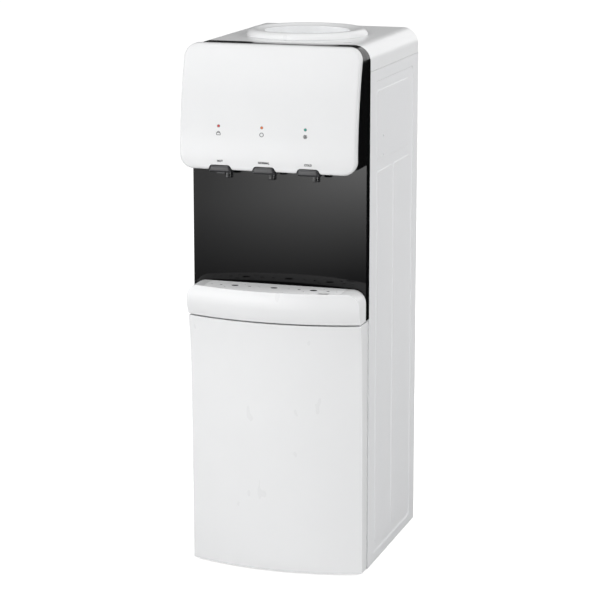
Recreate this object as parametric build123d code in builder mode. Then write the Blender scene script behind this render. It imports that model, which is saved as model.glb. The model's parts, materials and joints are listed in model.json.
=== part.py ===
"""A free-standing top-load water dispenser with three taps, a drip tray and a storage cabinet.

The front faces -Y, +X is the right side as seen from the front, and the floor is Z = 0.
The origin is the middle of the whole footprint. All sizes are in millimetres.
"""
import os
from math import asin, cos, radians, sin

from build123d import *

os.makedirs("parts", exist_ok=True)

# Driving sizes of the whole dispenser
body_width = 310.0
body_depth = 310.0
seam_height = 874.0
cover_height = 45.0
foot_height = 3.0
shoulder_radius = 28.0
front_reach = 88.0
rear_reach = 18.0
bow = 28.0

# Clearances and walls that many pieces share
gap = 0.3
pin_gap = 0.05
overrun = 6.0
plastic_wall = 2.5
sheet = 1.2

half_width = body_width / 2
cover_top = seam_height + cover_height
face_y = (front_reach - body_depth - rear_reach) / 2
back_y = face_y + body_depth
mid_y = (face_y + back_y) / 2


def block(x_span, y_span, z_span, mode=Mode.ADD):
    """Add or cut a straight block between three pairs of places."""
    size = [span[1] - span[0] for span in (x_span, y_span, z_span)]
    middle = [(span[0] + span[1]) / 2 for span in (x_span, y_span, z_span)]
    with Locations(tuple(middle)):
        Box(*size, mode=mode)


def disc(place, radius, height, mode=Mode.ADD):
    """Add or cut an upright cylinder that stands on a place."""
    with Locations(place):
        Cylinder(radius, height, align=(Align.CENTER, Align.CENTER, Align.MIN), mode=mode)


def rod(start, radius, length, mode=Mode.ADD):
    """Add or cut a cylinder that runs back from a place, along +Y."""
    with BuildSketch(Plane(origin=start, x_dir=(1, 0, 0), z_dir=(0, 1, 0))) as end:
        Circle(radius)
    extrude(end.sketch, amount=length, mode=mode)


def cross_rod(start, radius, length, mode=Mode.ADD):
    """Add or cut a cylinder that runs to the right from a place, along +X."""
    with BuildSketch(Plane(origin=start, x_dir=(0, 1, 0), z_dir=(1, 0, 0))) as end:
        Circle(radius)
    extrude(end.sketch, amount=length, mode=mode)


def tapered_pad(plane, size, corner, slope, rise, mode=Mode.ADD):
    """Add or cut a rounded rectangle that draws in by its slope over its rise."""
    with BuildSketch(plane) as base:
        RectangleRounded(size[0], size[1], corner)
    with BuildSketch(plane.offset(rise)) as crest:
        RectangleRounded(size[0] - 2 * slope, size[1] - 2 * slope, corner - slope / 2)
    loft([base.sketch.face(), crest.sketch.face()], mode=mode)


# Side panels: moulded walls with a sunk field and three raised pads
side_wall = 4.0
return_wall = 2.5
return_width = 12.0
field_depth = 1.8
field_slope = 2.0
field_corner = 12.0
field_front_margin = 28.0
field_rear_margin = 30.0
field_foot_margin = 16.0
field_head_margin = 19.0
pad_rise = 1.2
pad_slope = 1.6
pad_corner = 9.0
pad_front_margin = 19.0
pad_rear_margin = 22.0
pad_end_margin = 17.0
pad_row_gap = 18.0
pad_column_gap = 11.0
upper_pad_height = 121.0
front_pad_width = 94.0
dimple_radius = 2.0
dimple_depth = 0.8
dimple_inset = 36.3
dimple_rises = (6.2, 39.4)

field_front = face_y + field_front_margin
field_rear = back_y - field_rear_margin
field_foot = foot_height + field_foot_margin
field_head = seam_height - field_head_margin
inner_wall_x = half_width - side_wall
screw_column_x = half_width - return_width / 2 - return_wall / 2
screw_shank = 1.6
screw_heights = [
    foot_height + share * (seam_height - foot_height) for share in (0.26, 0.50, 0.74, 0.97)
]


def pad_spans():
    """The lengthwise and upright spans of the three raised pads."""
    front = field_front + pad_front_margin
    rear = field_rear - pad_rear_margin
    top = field_head - pad_end_margin
    row = top - upper_pad_height - pad_row_gap
    low = field_foot + pad_end_margin
    split = front + front_pad_width
    return (
        ((front, rear), (top - upper_pad_height, top)),
        ((front, split), (low, row)),
        ((split + pad_column_gap, rear), (low, row)),
    )


def side_relief_plane(y_span, z_span, depth):
    """A plane on the outside of the right panel, facing out, at the middle of a relief."""
    middle = ((y_span[0] + y_span[1]) / 2, (z_span[0] + z_span[1]) / 2)
    return Plane(
        origin=(half_width - depth, middle[0], middle[1]), x_dir=(0, 1, 0), z_dir=(1, 0, 0)
    )


with BuildPart() as side_panel_right:
    wall_span = (inner_wall_x, half_width)
    return_span = (half_width - return_width, half_width)
    height_span = (foot_height, seam_height)
    block(wall_span, (face_y, back_y), height_span)
    block(return_span, (face_y, face_y + return_wall), height_span)
    block(return_span, (back_y - return_wall, back_y), height_span)
    field_spans = ((field_front, field_rear), (field_foot, field_head))
    tapered_pad(
        -side_relief_plane(*field_spans, 0),
        (field_rear - field_front, field_head - field_foot),
        field_corner,
        field_slope,
        field_depth,
        mode=Mode.SUBTRACT,
    )
    for pad_y, pad_z in pad_spans():
        tapered_pad(
            side_relief_plane(pad_y, pad_z, field_depth),
            (pad_y[1] - pad_y[0], pad_z[1] - pad_z[0]),
            pad_corner,
            pad_slope,
            pad_rise,
        )
    upper_pad_y, upper_pad_z = pad_spans()[0]
    dimple_floor = half_width - field_depth + pad_rise - dimple_depth
    for dimple_rise in dimple_rises:
        cross_rod(
            (dimple_floor, upper_pad_y[0] + dimple_inset, upper_pad_z[0] + dimple_rise),
            dimple_radius,
            overrun,
            mode=Mode.SUBTRACT,
        )
    for screw_z in screw_heights:
        rod(
            (screw_column_x, back_y - return_wall - overrun, screw_z),
            screw_shank + pin_gap,
            return_wall + 2 * overrun,
            mode=Mode.SUBTRACT,
        )
side_panel_right.part.label = "side_panel_right"
export_step(side_panel_right.part, "parts/side_panel_right.step")

with BuildPart() as side_panel_left:
    mirror(side_panel_right.part, about=Plane.YZ)
side_panel_left.part.label = "side_panel_left"
export_step(side_panel_left.part, "parts/side_panel_left.step")

# Base pan: a folded steel tray that carries the compressor and the feet, with a hinge tongue
pan_lip = 18.0
pan_front = face_y + return_wall
pan_rear = back_y - return_wall
foot_radius = 13.0
foot_stud = 4.0
foot_inset = 34.0
hinge_radius = 7.0
door_rear_gap = 1.5
hinge_pin_radius = 3.0

door_rear_y = face_y - door_rear_gap
hinge_x = half_width - hinge_radius
hinge_y = door_rear_y - hinge_radius
hinge_hole_radius = hinge_pin_radius + pin_gap
pan_top = foot_height + pan_lip
foot_pitch_x = 2 * (inner_wall_x - foot_inset)
foot_pitch_y = pan_rear - pan_front - 2 * foot_inset

with BuildPart() as base_pan:
    block((-inner_wall_x, inner_wall_x), (pan_front, pan_rear), (foot_height, pan_top))
    block(
        (sheet - inner_wall_x, inner_wall_x - sheet),
        (pan_front + sheet, pan_rear - sheet),
        (foot_height + sheet, pan_top + overrun),
        mode=Mode.SUBTRACT,
    )
    tongue_left = half_width - return_width - hinge_radius
    block(
        (tongue_left, hinge_x + hinge_radius / 2),
        (hinge_y - hinge_radius, face_y),
        (foot_height, foot_height + sheet),
    )
    block(
        (tongue_left, half_width - return_width - gap),
        (face_y, pan_front),
        (foot_height, foot_height + sheet),
    )
    disc((hinge_x, hinge_y, foot_height - overrun), hinge_hole_radius, 2 * overrun, mode=Mode.SUBTRACT)
    with Locations((0, mid_y, foot_height)):
        with GridLocations(foot_pitch_x, foot_pitch_y, 2, 2):
            Cylinder(foot_stud + pin_gap, 2 * overrun, mode=Mode.SUBTRACT)
base_pan.part.label = "base_pan"
export_step(base_pan.part, "parts/base_pan.step")

with BuildPart() as feet:
    with Locations((0, mid_y, 0)):
        with GridLocations(foot_pitch_x, foot_pitch_y, 2, 2):
            Cylinder(foot_radius, foot_height, align=(Align.CENTER, Align.CENTER, Align.MIN))
            Cylinder(foot_stud, 2 * foot_height, align=(Align.CENTER, Align.CENTER, Align.MIN))
feet.part.label = "feet"
export_step(feet.part, "parts/feet.step")

# Top cover: a moulded cap with rounded shoulders and a round opening for the bottle collar
cover_wall = 3.0
bottle_setback = 140.0
collar_skirt_radius = 77.0
collar_bore_radius = 74.5

bottle_y = face_y + bottle_setback
bottle_plane = Plane(origin=(0, bottle_y, 0), x_dir=(1, 0, 0), z_dir=(0, -1, 0))
bottle_axis = Axis((0, bottle_y, 0), (0, 0, 1))


def shoulder_outline(inset, bottom, top):
    """The arched front outline of the cabinet's top, drawn in by an inset, as a sketch."""
    with BuildSketch() as outline:
        with Locations((0, (bottom + top) / 2)):
            Rectangle(body_width - 2 * inset, top - bottom)
        corners = outline.vertices().group_by(Axis.Y)[-1]
        fillet(corners, radius=shoulder_radius - inset)
    return outline.sketch


def arched_prism(inset, z_span, y_span, mode=Mode.ADD):
    """Add or cut the arched outline between two places along the depth."""
    outline = shoulder_outline(inset, z_span[0], z_span[1])
    plane = Plane(origin=(0, y_span[0], 0), x_dir=(1, 0, 0), z_dir=(0, -1, 0))
    extrude(plane * outline, amount=y_span[0] - y_span[1], mode=mode)


with BuildPart() as top_cover:
    arched_prism(0, (seam_height, cover_top), (face_y, back_y))
    arched_prism(
        cover_wall,
        (seam_height - overrun, cover_top - cover_wall),
        (face_y + cover_wall, back_y - cover_wall),
        mode=Mode.SUBTRACT,
    )
    disc((0, bottle_y, seam_height), collar_skirt_radius + gap, cover_height + overrun, mode=Mode.SUBTRACT)
top_cover.part.label = "top_cover"
export_step(top_cover.part, "parts/top_cover.step")

# Bottle collar: the raised ring that the bottle's shoulder rests on
collar_rise = 11.0
collar_base_radius = 106.0
collar_rim_outer_radius = 97.0
collar_rim_inner_radius = 90.0
collar_bulge = 2.0
collar_pocket_depth = 16.0
ledge_width = 4.0
ledge_thickness = 3.0

collar_top = cover_top + collar_rise
ledge_top = cover_top - collar_pocket_depth
ledge_radius = collar_bore_radius - ledge_width

with BuildPart() as bottle_collar:
    with BuildSketch(bottle_plane):
        with BuildLine():
            bulge_mid = (
                (collar_base_radius + collar_rim_outer_radius) / 2 + collar_bulge,
                cover_top + collar_rise / 2 + collar_bulge,
            )
            ThreePointArc((collar_base_radius, cover_top), bulge_mid, (collar_rim_outer_radius, collar_top))
            Line((collar_rim_outer_radius, collar_top), (collar_rim_inner_radius, collar_top))
            dish_mid = (
                (collar_rim_inner_radius + collar_bore_radius) / 2 - collar_bulge,
                cover_top + collar_rise / 2 - collar_bulge,
            )
            dish_foot = (collar_bore_radius, cover_top - gap)
            ThreePointArc((collar_rim_inner_radius, collar_top), dish_mid, dish_foot)
            Polyline(
                dish_foot,
                (collar_bore_radius, ledge_top),
                (ledge_radius, ledge_top),
                (ledge_radius, ledge_top - ledge_thickness),
                (collar_skirt_radius, ledge_top - ledge_thickness),
                (collar_skirt_radius, cover_top),
                (collar_base_radius, cover_top),
            )
        make_face()
    revolve(axis=bottle_axis)
bottle_collar.part.label = "bottle_collar"
export_step(bottle_collar.part, "parts/bottle_collar.step")

# Bottle seat: the lift-out funnel and neck well that hold the water probe
seat_flange = 3.0
seat_bowl_radius = 67.5
neck_radius = 30.5
well_depth = 57.0
neck_depth = 28.0
seat_floor = 2.5
probe_radius = 9.0
probe_bore = 6.5
probe_flange_radius = 13.0
probe_flange_height = 2.5
probe_height = 46.0
probe_tail = 14.0
window_width = 4.0
window_height = 16.0

seat_top = ledge_top + seat_flange
well_top = seat_top - well_depth + neck_depth
well_floor = seat_top - well_depth
seat_skin_radius = ledge_radius - gap * 2
probe_crown = well_floor + probe_height

with BuildPart() as bottle_seat:
    with BuildSketch(bottle_plane):
        with BuildLine():
            Polyline(
                (probe_radius + pin_gap, well_floor - seat_floor),
                (neck_radius + plastic_wall, well_floor - seat_floor),
                (neck_radius + plastic_wall, well_top - plastic_wall),
                (seat_skin_radius, ledge_top - ledge_thickness - gap),
                (seat_skin_radius, ledge_top),
                (collar_bore_radius - gap, ledge_top),
                (collar_bore_radius - gap, seat_top),
                (seat_bowl_radius, seat_top),
                (neck_radius, well_top),
                (neck_radius, well_floor),
                (probe_radius + pin_gap, well_floor),
                close=True,
            )
        make_face()
    revolve(axis=bottle_axis)
bottle_seat.part.label = "bottle_seat"
export_step(bottle_seat.part, "parts/bottle_seat.step")

with BuildPart() as bottle_probe:
    tail_z = well_floor - probe_tail
    dome_z = probe_crown - probe_radius
    with BuildSketch(bottle_plane):
        with BuildLine():
            Polyline(
                (0, dome_z),
                (probe_bore, dome_z),
                (probe_bore, tail_z),
                (probe_radius, tail_z),
                (probe_radius, well_floor),
                (probe_flange_radius, well_floor),
                (probe_flange_radius, well_floor + probe_flange_height),
                (probe_radius, well_floor + probe_flange_height),
                (probe_radius, dome_z),
            )
            dome_mid = (probe_radius * cos(radians(45)), dome_z + probe_radius * sin(radians(45)))
            ThreePointArc((probe_radius, dome_z), dome_mid, (0, probe_crown))
            Line((0, probe_crown), (0, dome_z))
        make_face()
    revolve(axis=bottle_axis)
    window_span = (dome_z - window_height - probe_flange_height, dome_z - probe_flange_height)
    half_window = window_width / 2
    for along_x, along_y in ((probe_radius + overrun, half_window), (half_window, probe_radius + overrun)):
        block((-along_x, along_x), (bottle_y - along_y, bottle_y + along_y), window_span, mode=Mode.SUBTRACT)
bottle_probe.part.label = "bottle_probe"
export_step(bottle_probe.part, "parts/bottle_probe.step")

# Front frame: the black shell with the shallow curved alcove wall
frame_depth = 20.0
frame_wall = 2.5
frame_drop = 422.0
tray_drop = 368.0
housing_drop = 154.0
alcove_sag = 12.0
pin_boss_radius = 6.0
pin_boss_height = 8.0
alcove_ledge_drop = 3.0
shank_radius = 7.0
tap_axis_rise = 14.0
tap_group_shift = -5.5
tap_pitch = 77.5
tap_reach = 38.0

frame_front = face_y - frame_depth
frame_bottom = seam_height - frame_drop
tray_top = seam_height - tray_drop
housing_bottom = seam_height - housing_drop
tap_axis_height = housing_bottom + tap_axis_rise
alcove_floor = tray_top - alcove_ledge_drop
tap_places = [tap_group_shift + step * tap_pitch for step in (-1, 0, 1)]
tap_y = face_y - tap_reach


def alcove_face(half, rear_shift, front_y, height):
    """The plan of what lies between a straight front line and the alcove's arc, as a sketch."""
    side_y = frame_front + rear_shift
    with BuildSketch(Plane.XY.offset(height)) as plan:
        with BuildLine():
            Polyline((half, side_y), (half, front_y), (-half, front_y), (-half, side_y))
            ThreePointArc((-half, side_y), (0, side_y + alcove_sag), (half, side_y))
        make_face()
    return plan.sketch


with BuildPart() as front_frame:
    arched_prism(0, (frame_bottom, cover_top), (frame_front, face_y))
    arched_prism(
        frame_wall,
        (frame_bottom + frame_wall, cover_top - frame_wall),
        (frame_front + frame_wall, face_y + overrun),
        mode=Mode.SUBTRACT,
    )
    back_plan = alcove_face(half_width - frame_wall, frame_wall, frame_front, alcove_floor - frame_wall)
    extrude(back_plan, amount=housing_bottom - alcove_floor + 2 * frame_wall)
    hollow_plan = alcove_face(half_width, 0, frame_front - overrun, alcove_floor)
    extrude(hollow_plan, amount=housing_bottom - alcove_floor, mode=Mode.SUBTRACT)
    for tap_x in tap_places:
        rod(
            (tap_x, frame_front - overrun, tap_axis_height),
            shank_radius + pin_gap,
            frame_wall + 2 * overrun,
            mode=Mode.SUBTRACT,
        )
    disc((hinge_x, hinge_y, frame_bottom), pin_boss_radius, pin_boss_height)
    disc((hinge_x, hinge_y, frame_bottom - overrun), hinge_hole_radius, 2 * overrun, mode=Mode.SUBTRACT)
front_frame.part.label = "front_frame"
export_step(front_frame.part, "parts/front_frame.step")

# Fascia panel: the white cover of the head, with lens holes and lever notches. Seen from the
# side its face is an arc that stands upright near its foot and leans back towards its head
fascia_foot_drop = 9.0
fascia_head_rise = 1.0
fascia_radius = 570.0
fascia_crest_rise = 22.0
fascia_reach = 85.0
fascia_depth = 12.0
fascia_wall = 2.5
fascia_corner = 23.0
fascia_edge = 4.0
notch_top_drop = 0.5
notch_foot_width = 43.0
notch_head_width = 34.0
notch_corner = 3.5
lens_radius = 1.9
lens_flange_radius = 3.0
lens_flange_height = 1.0
lens_proud = 0.5
lens_rise = 65.0
lens_group_shift = -9.5
lens_pitch = 76.2
board_thickness = 1.6
board_height = 20.0
board_overhang = 19.3
board_setback = 7.5
board_boss = 3.0

fascia_foot = housing_bottom - fascia_foot_drop
fascia_head = cover_top + fascia_head_rise
lens_height = housing_bottom + lens_rise
fascia_crest = fascia_foot + fascia_crest_rise
arc_middle_y = face_y - fascia_reach + fascia_radius
lens_tilt = asin((lens_height - fascia_crest) / fascia_radius)
# The plane that touches the face along the row of lenses
lens_plane = Plane(
    origin=(0, arc_middle_y - fascia_radius * cos(lens_tilt), lens_height),
    x_dir=(1, 0, 0),
    z_dir=(0, -cos(lens_tilt), sin(lens_tilt)),
)
board_width = 2 * (lens_pitch - lens_group_shift + board_overhang)
lens_places = [(lens_group_shift + step * lens_pitch, 0) for step in (-1, 0, 1)]
board_places = [(side * (board_width / 2 - 2 * board_boss), 0) for side in (-1, 1)]
notch_top = housing_bottom - notch_top_drop


def side_profile_plane(x_place):
    """An upright plane across the width, with depth and height as its own axes."""
    return Plane(origin=(x_place, 0, 0), x_dir=(0, 1, 0), z_dir=(1, 0, 0))


def fascia_slab(front_inset, rear_inset, edge_inset):
    """What lies between two depths behind the fascia's arc, inside its rounded outline."""
    with BuildPart() as slab:
        with BuildSketch(side_profile_plane(-half_width - overrun)):
            with Locations((arc_middle_y, fascia_crest)):
                Circle(fascia_radius - front_inset)
                Circle(fascia_radius - rear_inset, mode=Mode.SUBTRACT)
        extrude(amount=body_width + 2 * overrun)
        outline_middle = (0, frame_front, (fascia_foot + fascia_head) / 2)
        with BuildSketch(Plane(origin=outline_middle, x_dir=(1, 0, 0), z_dir=(0, -1, 0))):
            RectangleRounded(
                body_width - 2 * edge_inset,
                fascia_head - fascia_foot - 2 * edge_inset,
                fascia_corner - edge_inset,
            )
        extrude(amount=fascia_reach - frame_depth + overrun, mode=Mode.INTERSECT)
    return slab.part


def notch_profile(foot_width, head_width, foot, head, corner):
    """A trapezium with rounded head corners, as a sketch in width and height."""
    with BuildSketch() as profile:
        with BuildLine():
            Polyline(
                (-foot_width / 2, foot),
                (foot_width / 2, foot),
                (head_width / 2, head),
                (-head_width / 2, head),
                close=True,
            )
        make_face()
        fillet(profile.vertices().group_by(Axis.Y)[-1], radius=corner)
    return profile.sketch


fascia_shell = fascia_slab(0, fascia_depth, 0)
fascia_hollow = fascia_slab(fascia_wall, fascia_depth + overrun, fascia_wall)

with BuildPart() as fascia_panel:
    add(fascia_shell)
    broad_faces = fascia_panel.faces().sort_by(SortBy.AREA)[-2:]
    fillet(broad_faces.sort_by(Axis.Y)[0].edges(), radius=fascia_edge)
    add(fascia_hollow, mode=Mode.SUBTRACT)
    with BuildSketch(lens_plane.offset(-fascia_wall / 2)):
        with Locations(*board_places):
            Circle(board_boss)
    extrude(amount=fascia_wall / 2 - board_setback)
    with BuildSketch(lens_plane.offset(overrun)):
        with Locations(*lens_places):
            Circle(lens_radius + pin_gap)
    extrude(amount=-overrun - 2 * fascia_wall, mode=Mode.SUBTRACT)
    notch_slope = (notch_foot_width - notch_head_width) / 2 / (notch_top - fascia_foot)
    notch_cut_foot = fascia_foot - overrun
    notch_cut_width = notch_foot_width + 2 * overrun * notch_slope
    notch_cut = notch_profile(notch_cut_width, notch_head_width, notch_cut_foot, notch_top, notch_corner)
    for tap_x in tap_places:
        cut_plane = Plane(origin=(tap_x, face_y - front_reach, 0), x_dir=(1, 0, 0), z_dir=(0, -1, 0))
        extrude(cut_plane * notch_cut, amount=frame_depth - front_reach, mode=Mode.SUBTRACT)
fascia_panel.part.label = "fascia_panel"
export_step(fascia_panel.part, "parts/fascia_panel.step")

with BuildPart() as indicator_leds:
    with BuildSketch(lens_plane.offset(lens_proud)):
        with Locations(*lens_places):
            Circle(lens_radius)
    extrude(amount=-lens_proud - board_setback)
    with BuildSketch(lens_plane.offset(-fascia_wall - pin_gap)):
        with Locations(*lens_places):
            Circle(lens_flange_radius)
    extrude(amount=-lens_flange_height)
indicator_leds.part.label = "indicator_leds"
export_step(indicator_leds.part, "parts/indicator_leds.step")

with BuildPart() as indicator_board:
    with BuildSketch(lens_plane.offset(-board_setback)):
        Rectangle(board_width, board_height)
    extrude(amount=-board_thickness)
indicator_board.part.label = "indicator_board"
export_step(indicator_board.part, "parts/indicator_board.step")

# Tap housing: the black ring that joins the frame to the fascia, slotted below for the taps
housing_wall = 2.5
tap_slot_width = 26.0
tap_slot_strip = 5.0

with BuildPart() as tap_housing:
    arched_prism(0, (housing_bottom, cover_top), (face_y - front_reach, frame_front))
    arched_prism(
        housing_wall,
        (housing_bottom + housing_wall, cover_top - housing_wall),
        (face_y - front_reach - overrun, frame_front + overrun),
        mode=Mode.SUBTRACT,
    )
    with BuildSketch(side_profile_plane(-half_width - overrun)):
        with Locations((arc_middle_y, fascia_crest)):
            Circle(fascia_radius + front_reach)
            Circle(fascia_radius - fascia_depth - gap, mode=Mode.SUBTRACT)
    extrude(amount=body_width + 2 * overrun, mode=Mode.SUBTRACT)
    for tap_x in tap_places:
        block(
            (tap_x - tap_slot_width / 2, tap_x + tap_slot_width / 2),
            (face_y - front_reach, frame_front - tap_slot_strip),
            (housing_bottom - overrun, housing_bottom + housing_wall + gap),
            mode=Mode.SUBTRACT,
        )
tap_housing.part.label = "tap_housing"
export_step(tap_housing.part, "parts/tap_housing.step")

# Taps: a nozzle under a valve chamber, with a threaded shank through the frame
nozzle_radius = 6.8
nozzle_bore = 4.2
nozzle_drop = 29.0
chamber_radius = 10.5
chamber_bore = 7.5
chamber_drop = 4.0
chamber_height = 30.0
seat_thickness = 3.0
shank_bore = 2.8
shank_flange_radius = 9.5
shank_flange = 3.0
shank_tail = 4.0
nipple_radius = 4.0
nipple_length = 12.0
nozzle_edge = 1.0

shank_end_y = face_y + shank_tail
nozzle_foot = housing_bottom - nozzle_drop
chamber_foot = housing_bottom - chamber_drop
chamber_top = chamber_foot + chamber_height
valve_seat = chamber_foot + seat_thickness


def build_tap(tap_x):
    """One tap body at its place along the width."""
    with BuildPart() as tap:
        disc((tap_x, tap_y, nozzle_foot), nozzle_radius, chamber_foot - nozzle_foot)
        disc((tap_x, tap_y, chamber_foot), chamber_radius, chamber_top - chamber_foot)
        rod((tap_x, tap_y, tap_axis_height), shank_radius, shank_end_y - tap_y)
        rod((tap_x, frame_front - shank_flange, tap_axis_height), shank_flange_radius, shank_flange)
        rod((tap_x, shank_end_y, tap_axis_height), nipple_radius, nipple_length)
        disc(
            (tap_x, tap_y, valve_seat), chamber_bore, chamber_top - valve_seat + overrun, mode=Mode.SUBTRACT
        )
        disc(
            (tap_x, tap_y, nozzle_foot - overrun),
            nozzle_bore,
            valve_seat - nozzle_foot + 2 * overrun,
            mode=Mode.SUBTRACT,
        )
        rod(
            (tap_x, tap_y, tap_axis_height),
            shank_bore,
            shank_end_y - tap_y + nipple_length + overrun,
            mode=Mode.SUBTRACT,
        )
        rim = tap.edges().filter_by(GeomType.CIRCLE).group_by(Axis.Z)[0].sort_by(SortBy.RADIUS)[-1]
        fillet(rim, radius=nozzle_edge)
    return tap


tap_names = ("hot", "normal", "cold")
for tap_name, tap_x in zip(tap_names, tap_places):
    tap_body = build_tap(tap_x)
    tap_body.part.label = tap_name + "_tap_body"
    export_step(tap_body.part, "parts/" + tap_name + "_tap_body.step")

# Tap nuts: hexagons that clamp the shanks behind the frame
nut_thickness = 6.0
nut_radius = 10.2

with BuildPart() as tap_nuts:
    nut_plane = Plane(
        origin=(0, frame_front + frame_wall, tap_axis_height), x_dir=(1, 0, 0), z_dir=(0, 1, 0)
    )
    with BuildSketch(nut_plane):
        with Locations(*[(tap_x, 0) for tap_x in tap_places]):
            RegularPolygon(nut_radius, 6)
            Circle(shank_radius + pin_gap, mode=Mode.SUBTRACT)
    extrude(amount=nut_thickness)
tap_nuts.part.label = "tap_nuts"
export_step(tap_nuts.part, "parts/tap_nuts.step")

# Bonnets: caps on the valve chambers, with two lugs that carry the lever's pin
bonnet_height = 4.0
bonnet_plug = 3.0
stem_radius = 1.8
stem_hole = 2.1
pin_reach = 15.0
pin_rise = 7.0
pin_radius = 1.5
lug_inner = 6.9
lug_thickness = 2.5
lug_radius = 3.8
lever_half_width = 6.5

bonnet_top = chamber_top + bonnet_height
pin_height = chamber_top + pin_rise
plug_foot = chamber_top - bonnet_plug
pin_y = tap_y - pin_reach


with BuildPart() as tap_bonnets:
    for tap_x in tap_places:
        disc((tap_x, tap_y, chamber_top), chamber_radius, bonnet_height)
        disc((tap_x, tap_y, plug_foot), chamber_bore - pin_gap, bonnet_plug)
        for lug_x in (tap_x + lug_inner, tap_x - lug_inner - lug_thickness):
            with BuildSketch(side_profile_plane(lug_x)):
                with Locations(((tap_y + pin_y) / 2, (chamber_top + pin_height) / 2)):
                    Rectangle(tap_y - pin_y, pin_height - chamber_top)
                with Locations((pin_y, pin_height)):
                    Circle(lug_radius)
                    Circle(pin_radius + pin_gap / 2, mode=Mode.SUBTRACT)
            extrude(amount=lug_thickness)
        disc(
            (tap_x, tap_y, plug_foot - overrun),
            stem_hole,
            bonnet_top - plug_foot + 2 * overrun,
            mode=Mode.SUBTRACT,
        )
tap_bonnets.part.label = "tap_bonnets"
export_step(tap_bonnets.part, "parts/tap_bonnets.step")

with BuildPart() as lever_pins:
    for tap_x in tap_places:
        pin_half = lug_inner + lug_thickness + gap
        cross_rod((tap_x - pin_half, pin_y, pin_height), pin_radius, 2 * pin_half)
lever_pins.part.label = "lever_pins"
export_step(lever_pins.part, "parts/lever_pins.step")

# Levers: a rear fork under the stem's head, an arm, and the paddle that a finger presses
boss_radius = 4.0
fork_reach = 20.0
fork_drop = 1.0
fork_thickness = 3.0
fork_slot = 2.8
arm_head_front = 5.0
arm_foot_rear = 12.5
arm_foot_front = 17.0
paddle_top_rise = 7.7
paddle_foot_drop = 4.0
paddle_front_reach = 87.0
paddle_foot_width = 39.5
paddle_head_width = 32.4
paddle_edge = 2.0
paddle_nose = 3.6
paddle_corner = 4.2
tab_width = 14.0
tab_length = 12.0
tab_thickness = 2.2
tab_shift = 1.0
tab_front_margin = 4.5
tab_travel = 4.0
tab_key_width = 4.0
tab_key_height = 1.6
tab_key_length = 9.0

paddle_top = fascia_foot + paddle_top_rise
paddle_foot = fascia_foot - paddle_foot_drop
paddle_front = face_y - paddle_front_reach
paddle_rear = pin_y - arm_foot_rear
tab_middle_y = paddle_front + tab_front_margin + tab_length / 2


def build_lever(tap_x, has_lock):
    """One lever about its pin, with a keyway below where it carries the child lock."""
    fork_top = pin_height - fork_drop + fork_thickness
    with BuildPart() as lever:
        cross_rod((tap_x - lever_half_width, pin_y, pin_height), boss_radius, 2 * lever_half_width)
        block(
            (tap_x - lever_half_width, tap_x + lever_half_width),
            (pin_y, pin_y + fork_reach),
            (pin_height - fork_drop, fork_top),
        )
        block(
            (tap_x - fork_slot, tap_x + fork_slot),
            (pin_y + boss_radius + gap, pin_y + fork_reach + overrun),
            (pin_height - fork_drop - overrun, fork_top + overrun),
            mode=Mode.SUBTRACT,
        )
        with BuildSketch(side_profile_plane(tap_x - lever_half_width)):
            with BuildLine():
                Polyline(
                    (pin_y, pin_height - boss_radius / 2),
                    (pin_y - boss_radius / 2, pin_height),
                    (pin_y - arm_head_front, pin_height - boss_radius),
                    (pin_y - arm_foot_front, paddle_top),
                    (pin_y - arm_foot_front, paddle_foot + paddle_edge),
                    (pin_y - arm_foot_rear, paddle_foot + paddle_edge),
                    (pin_y - arm_foot_rear, paddle_top),
                    close=True,
                )
            make_face()
        extrude(amount=2 * lever_half_width)
        paddle = notch_profile(paddle_foot_width, paddle_head_width, paddle_foot, paddle_top, paddle_corner)
        paddle_plane = Plane(origin=(tap_x, paddle_front, 0), x_dir=(1, 0, 0), z_dir=(0, -1, 0))
        extrude(paddle_plane * paddle, amount=paddle_front - paddle_rear)
        front_rim = lever.faces().sort_by(Axis.Y)[0].edges()
        fillet(front_rim, radius=paddle_nose)
        cross_rod(
            (tap_x - lever_half_width - overrun, pin_y, pin_height),
            pin_radius + pin_gap,
            2 * (lever_half_width + overrun),
            mode=Mode.SUBTRACT,
        )
        if has_lock:
            key_left = tap_x + tab_shift - tab_key_length / 2 - gap
            key_half = tab_key_width / 2 + gap
            block(
                (key_left, key_left + tab_key_length + tab_travel + 2 * gap),
                (tab_middle_y - key_half, tab_middle_y + key_half),
                (paddle_foot - overrun, paddle_foot + tab_key_height),
                mode=Mode.SUBTRACT,
            )
    return lever


for tap_name, tap_x in zip(tap_names, tap_places):
    tap_lever = build_lever(tap_x, tap_name == "hot")
    tap_lever.part.label = tap_name + "_tap_lever"
    export_step(tap_lever.part, "parts/" + tap_name + "_tap_lever.step")

with BuildPart() as child_lock:
    tab_x = tap_places[0] + tab_shift
    tab_top = paddle_foot - gap
    block(
        (tab_x - tab_width / 2, tab_x + tab_width / 2),
        (tab_middle_y - tab_length / 2, tab_middle_y + tab_length / 2),
        (tab_top - tab_thickness, tab_top),
    )
    block(
        (tab_x - tab_key_length / 2, tab_x + tab_key_length / 2),
        (tab_middle_y - tab_key_width / 2, tab_middle_y + tab_key_width / 2),
        (tab_top - tab_thickness / 2, tab_top + tab_key_height - gap),
    )
child_lock.part.label = "child_lock"
export_step(child_lock.part, "parts/child_lock.step")

# Valve plungers: a seal, a stem and a head that the lever's fork lifts
seal_radius = 6.4
seal_height = 2.8
seal_gap = 0.2
head_radius = 5.5
head_height = 2.5
head_gap = 0.5

seal_foot = valve_seat + seal_gap
head_foot = pin_height - fork_drop + fork_thickness + head_gap

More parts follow.
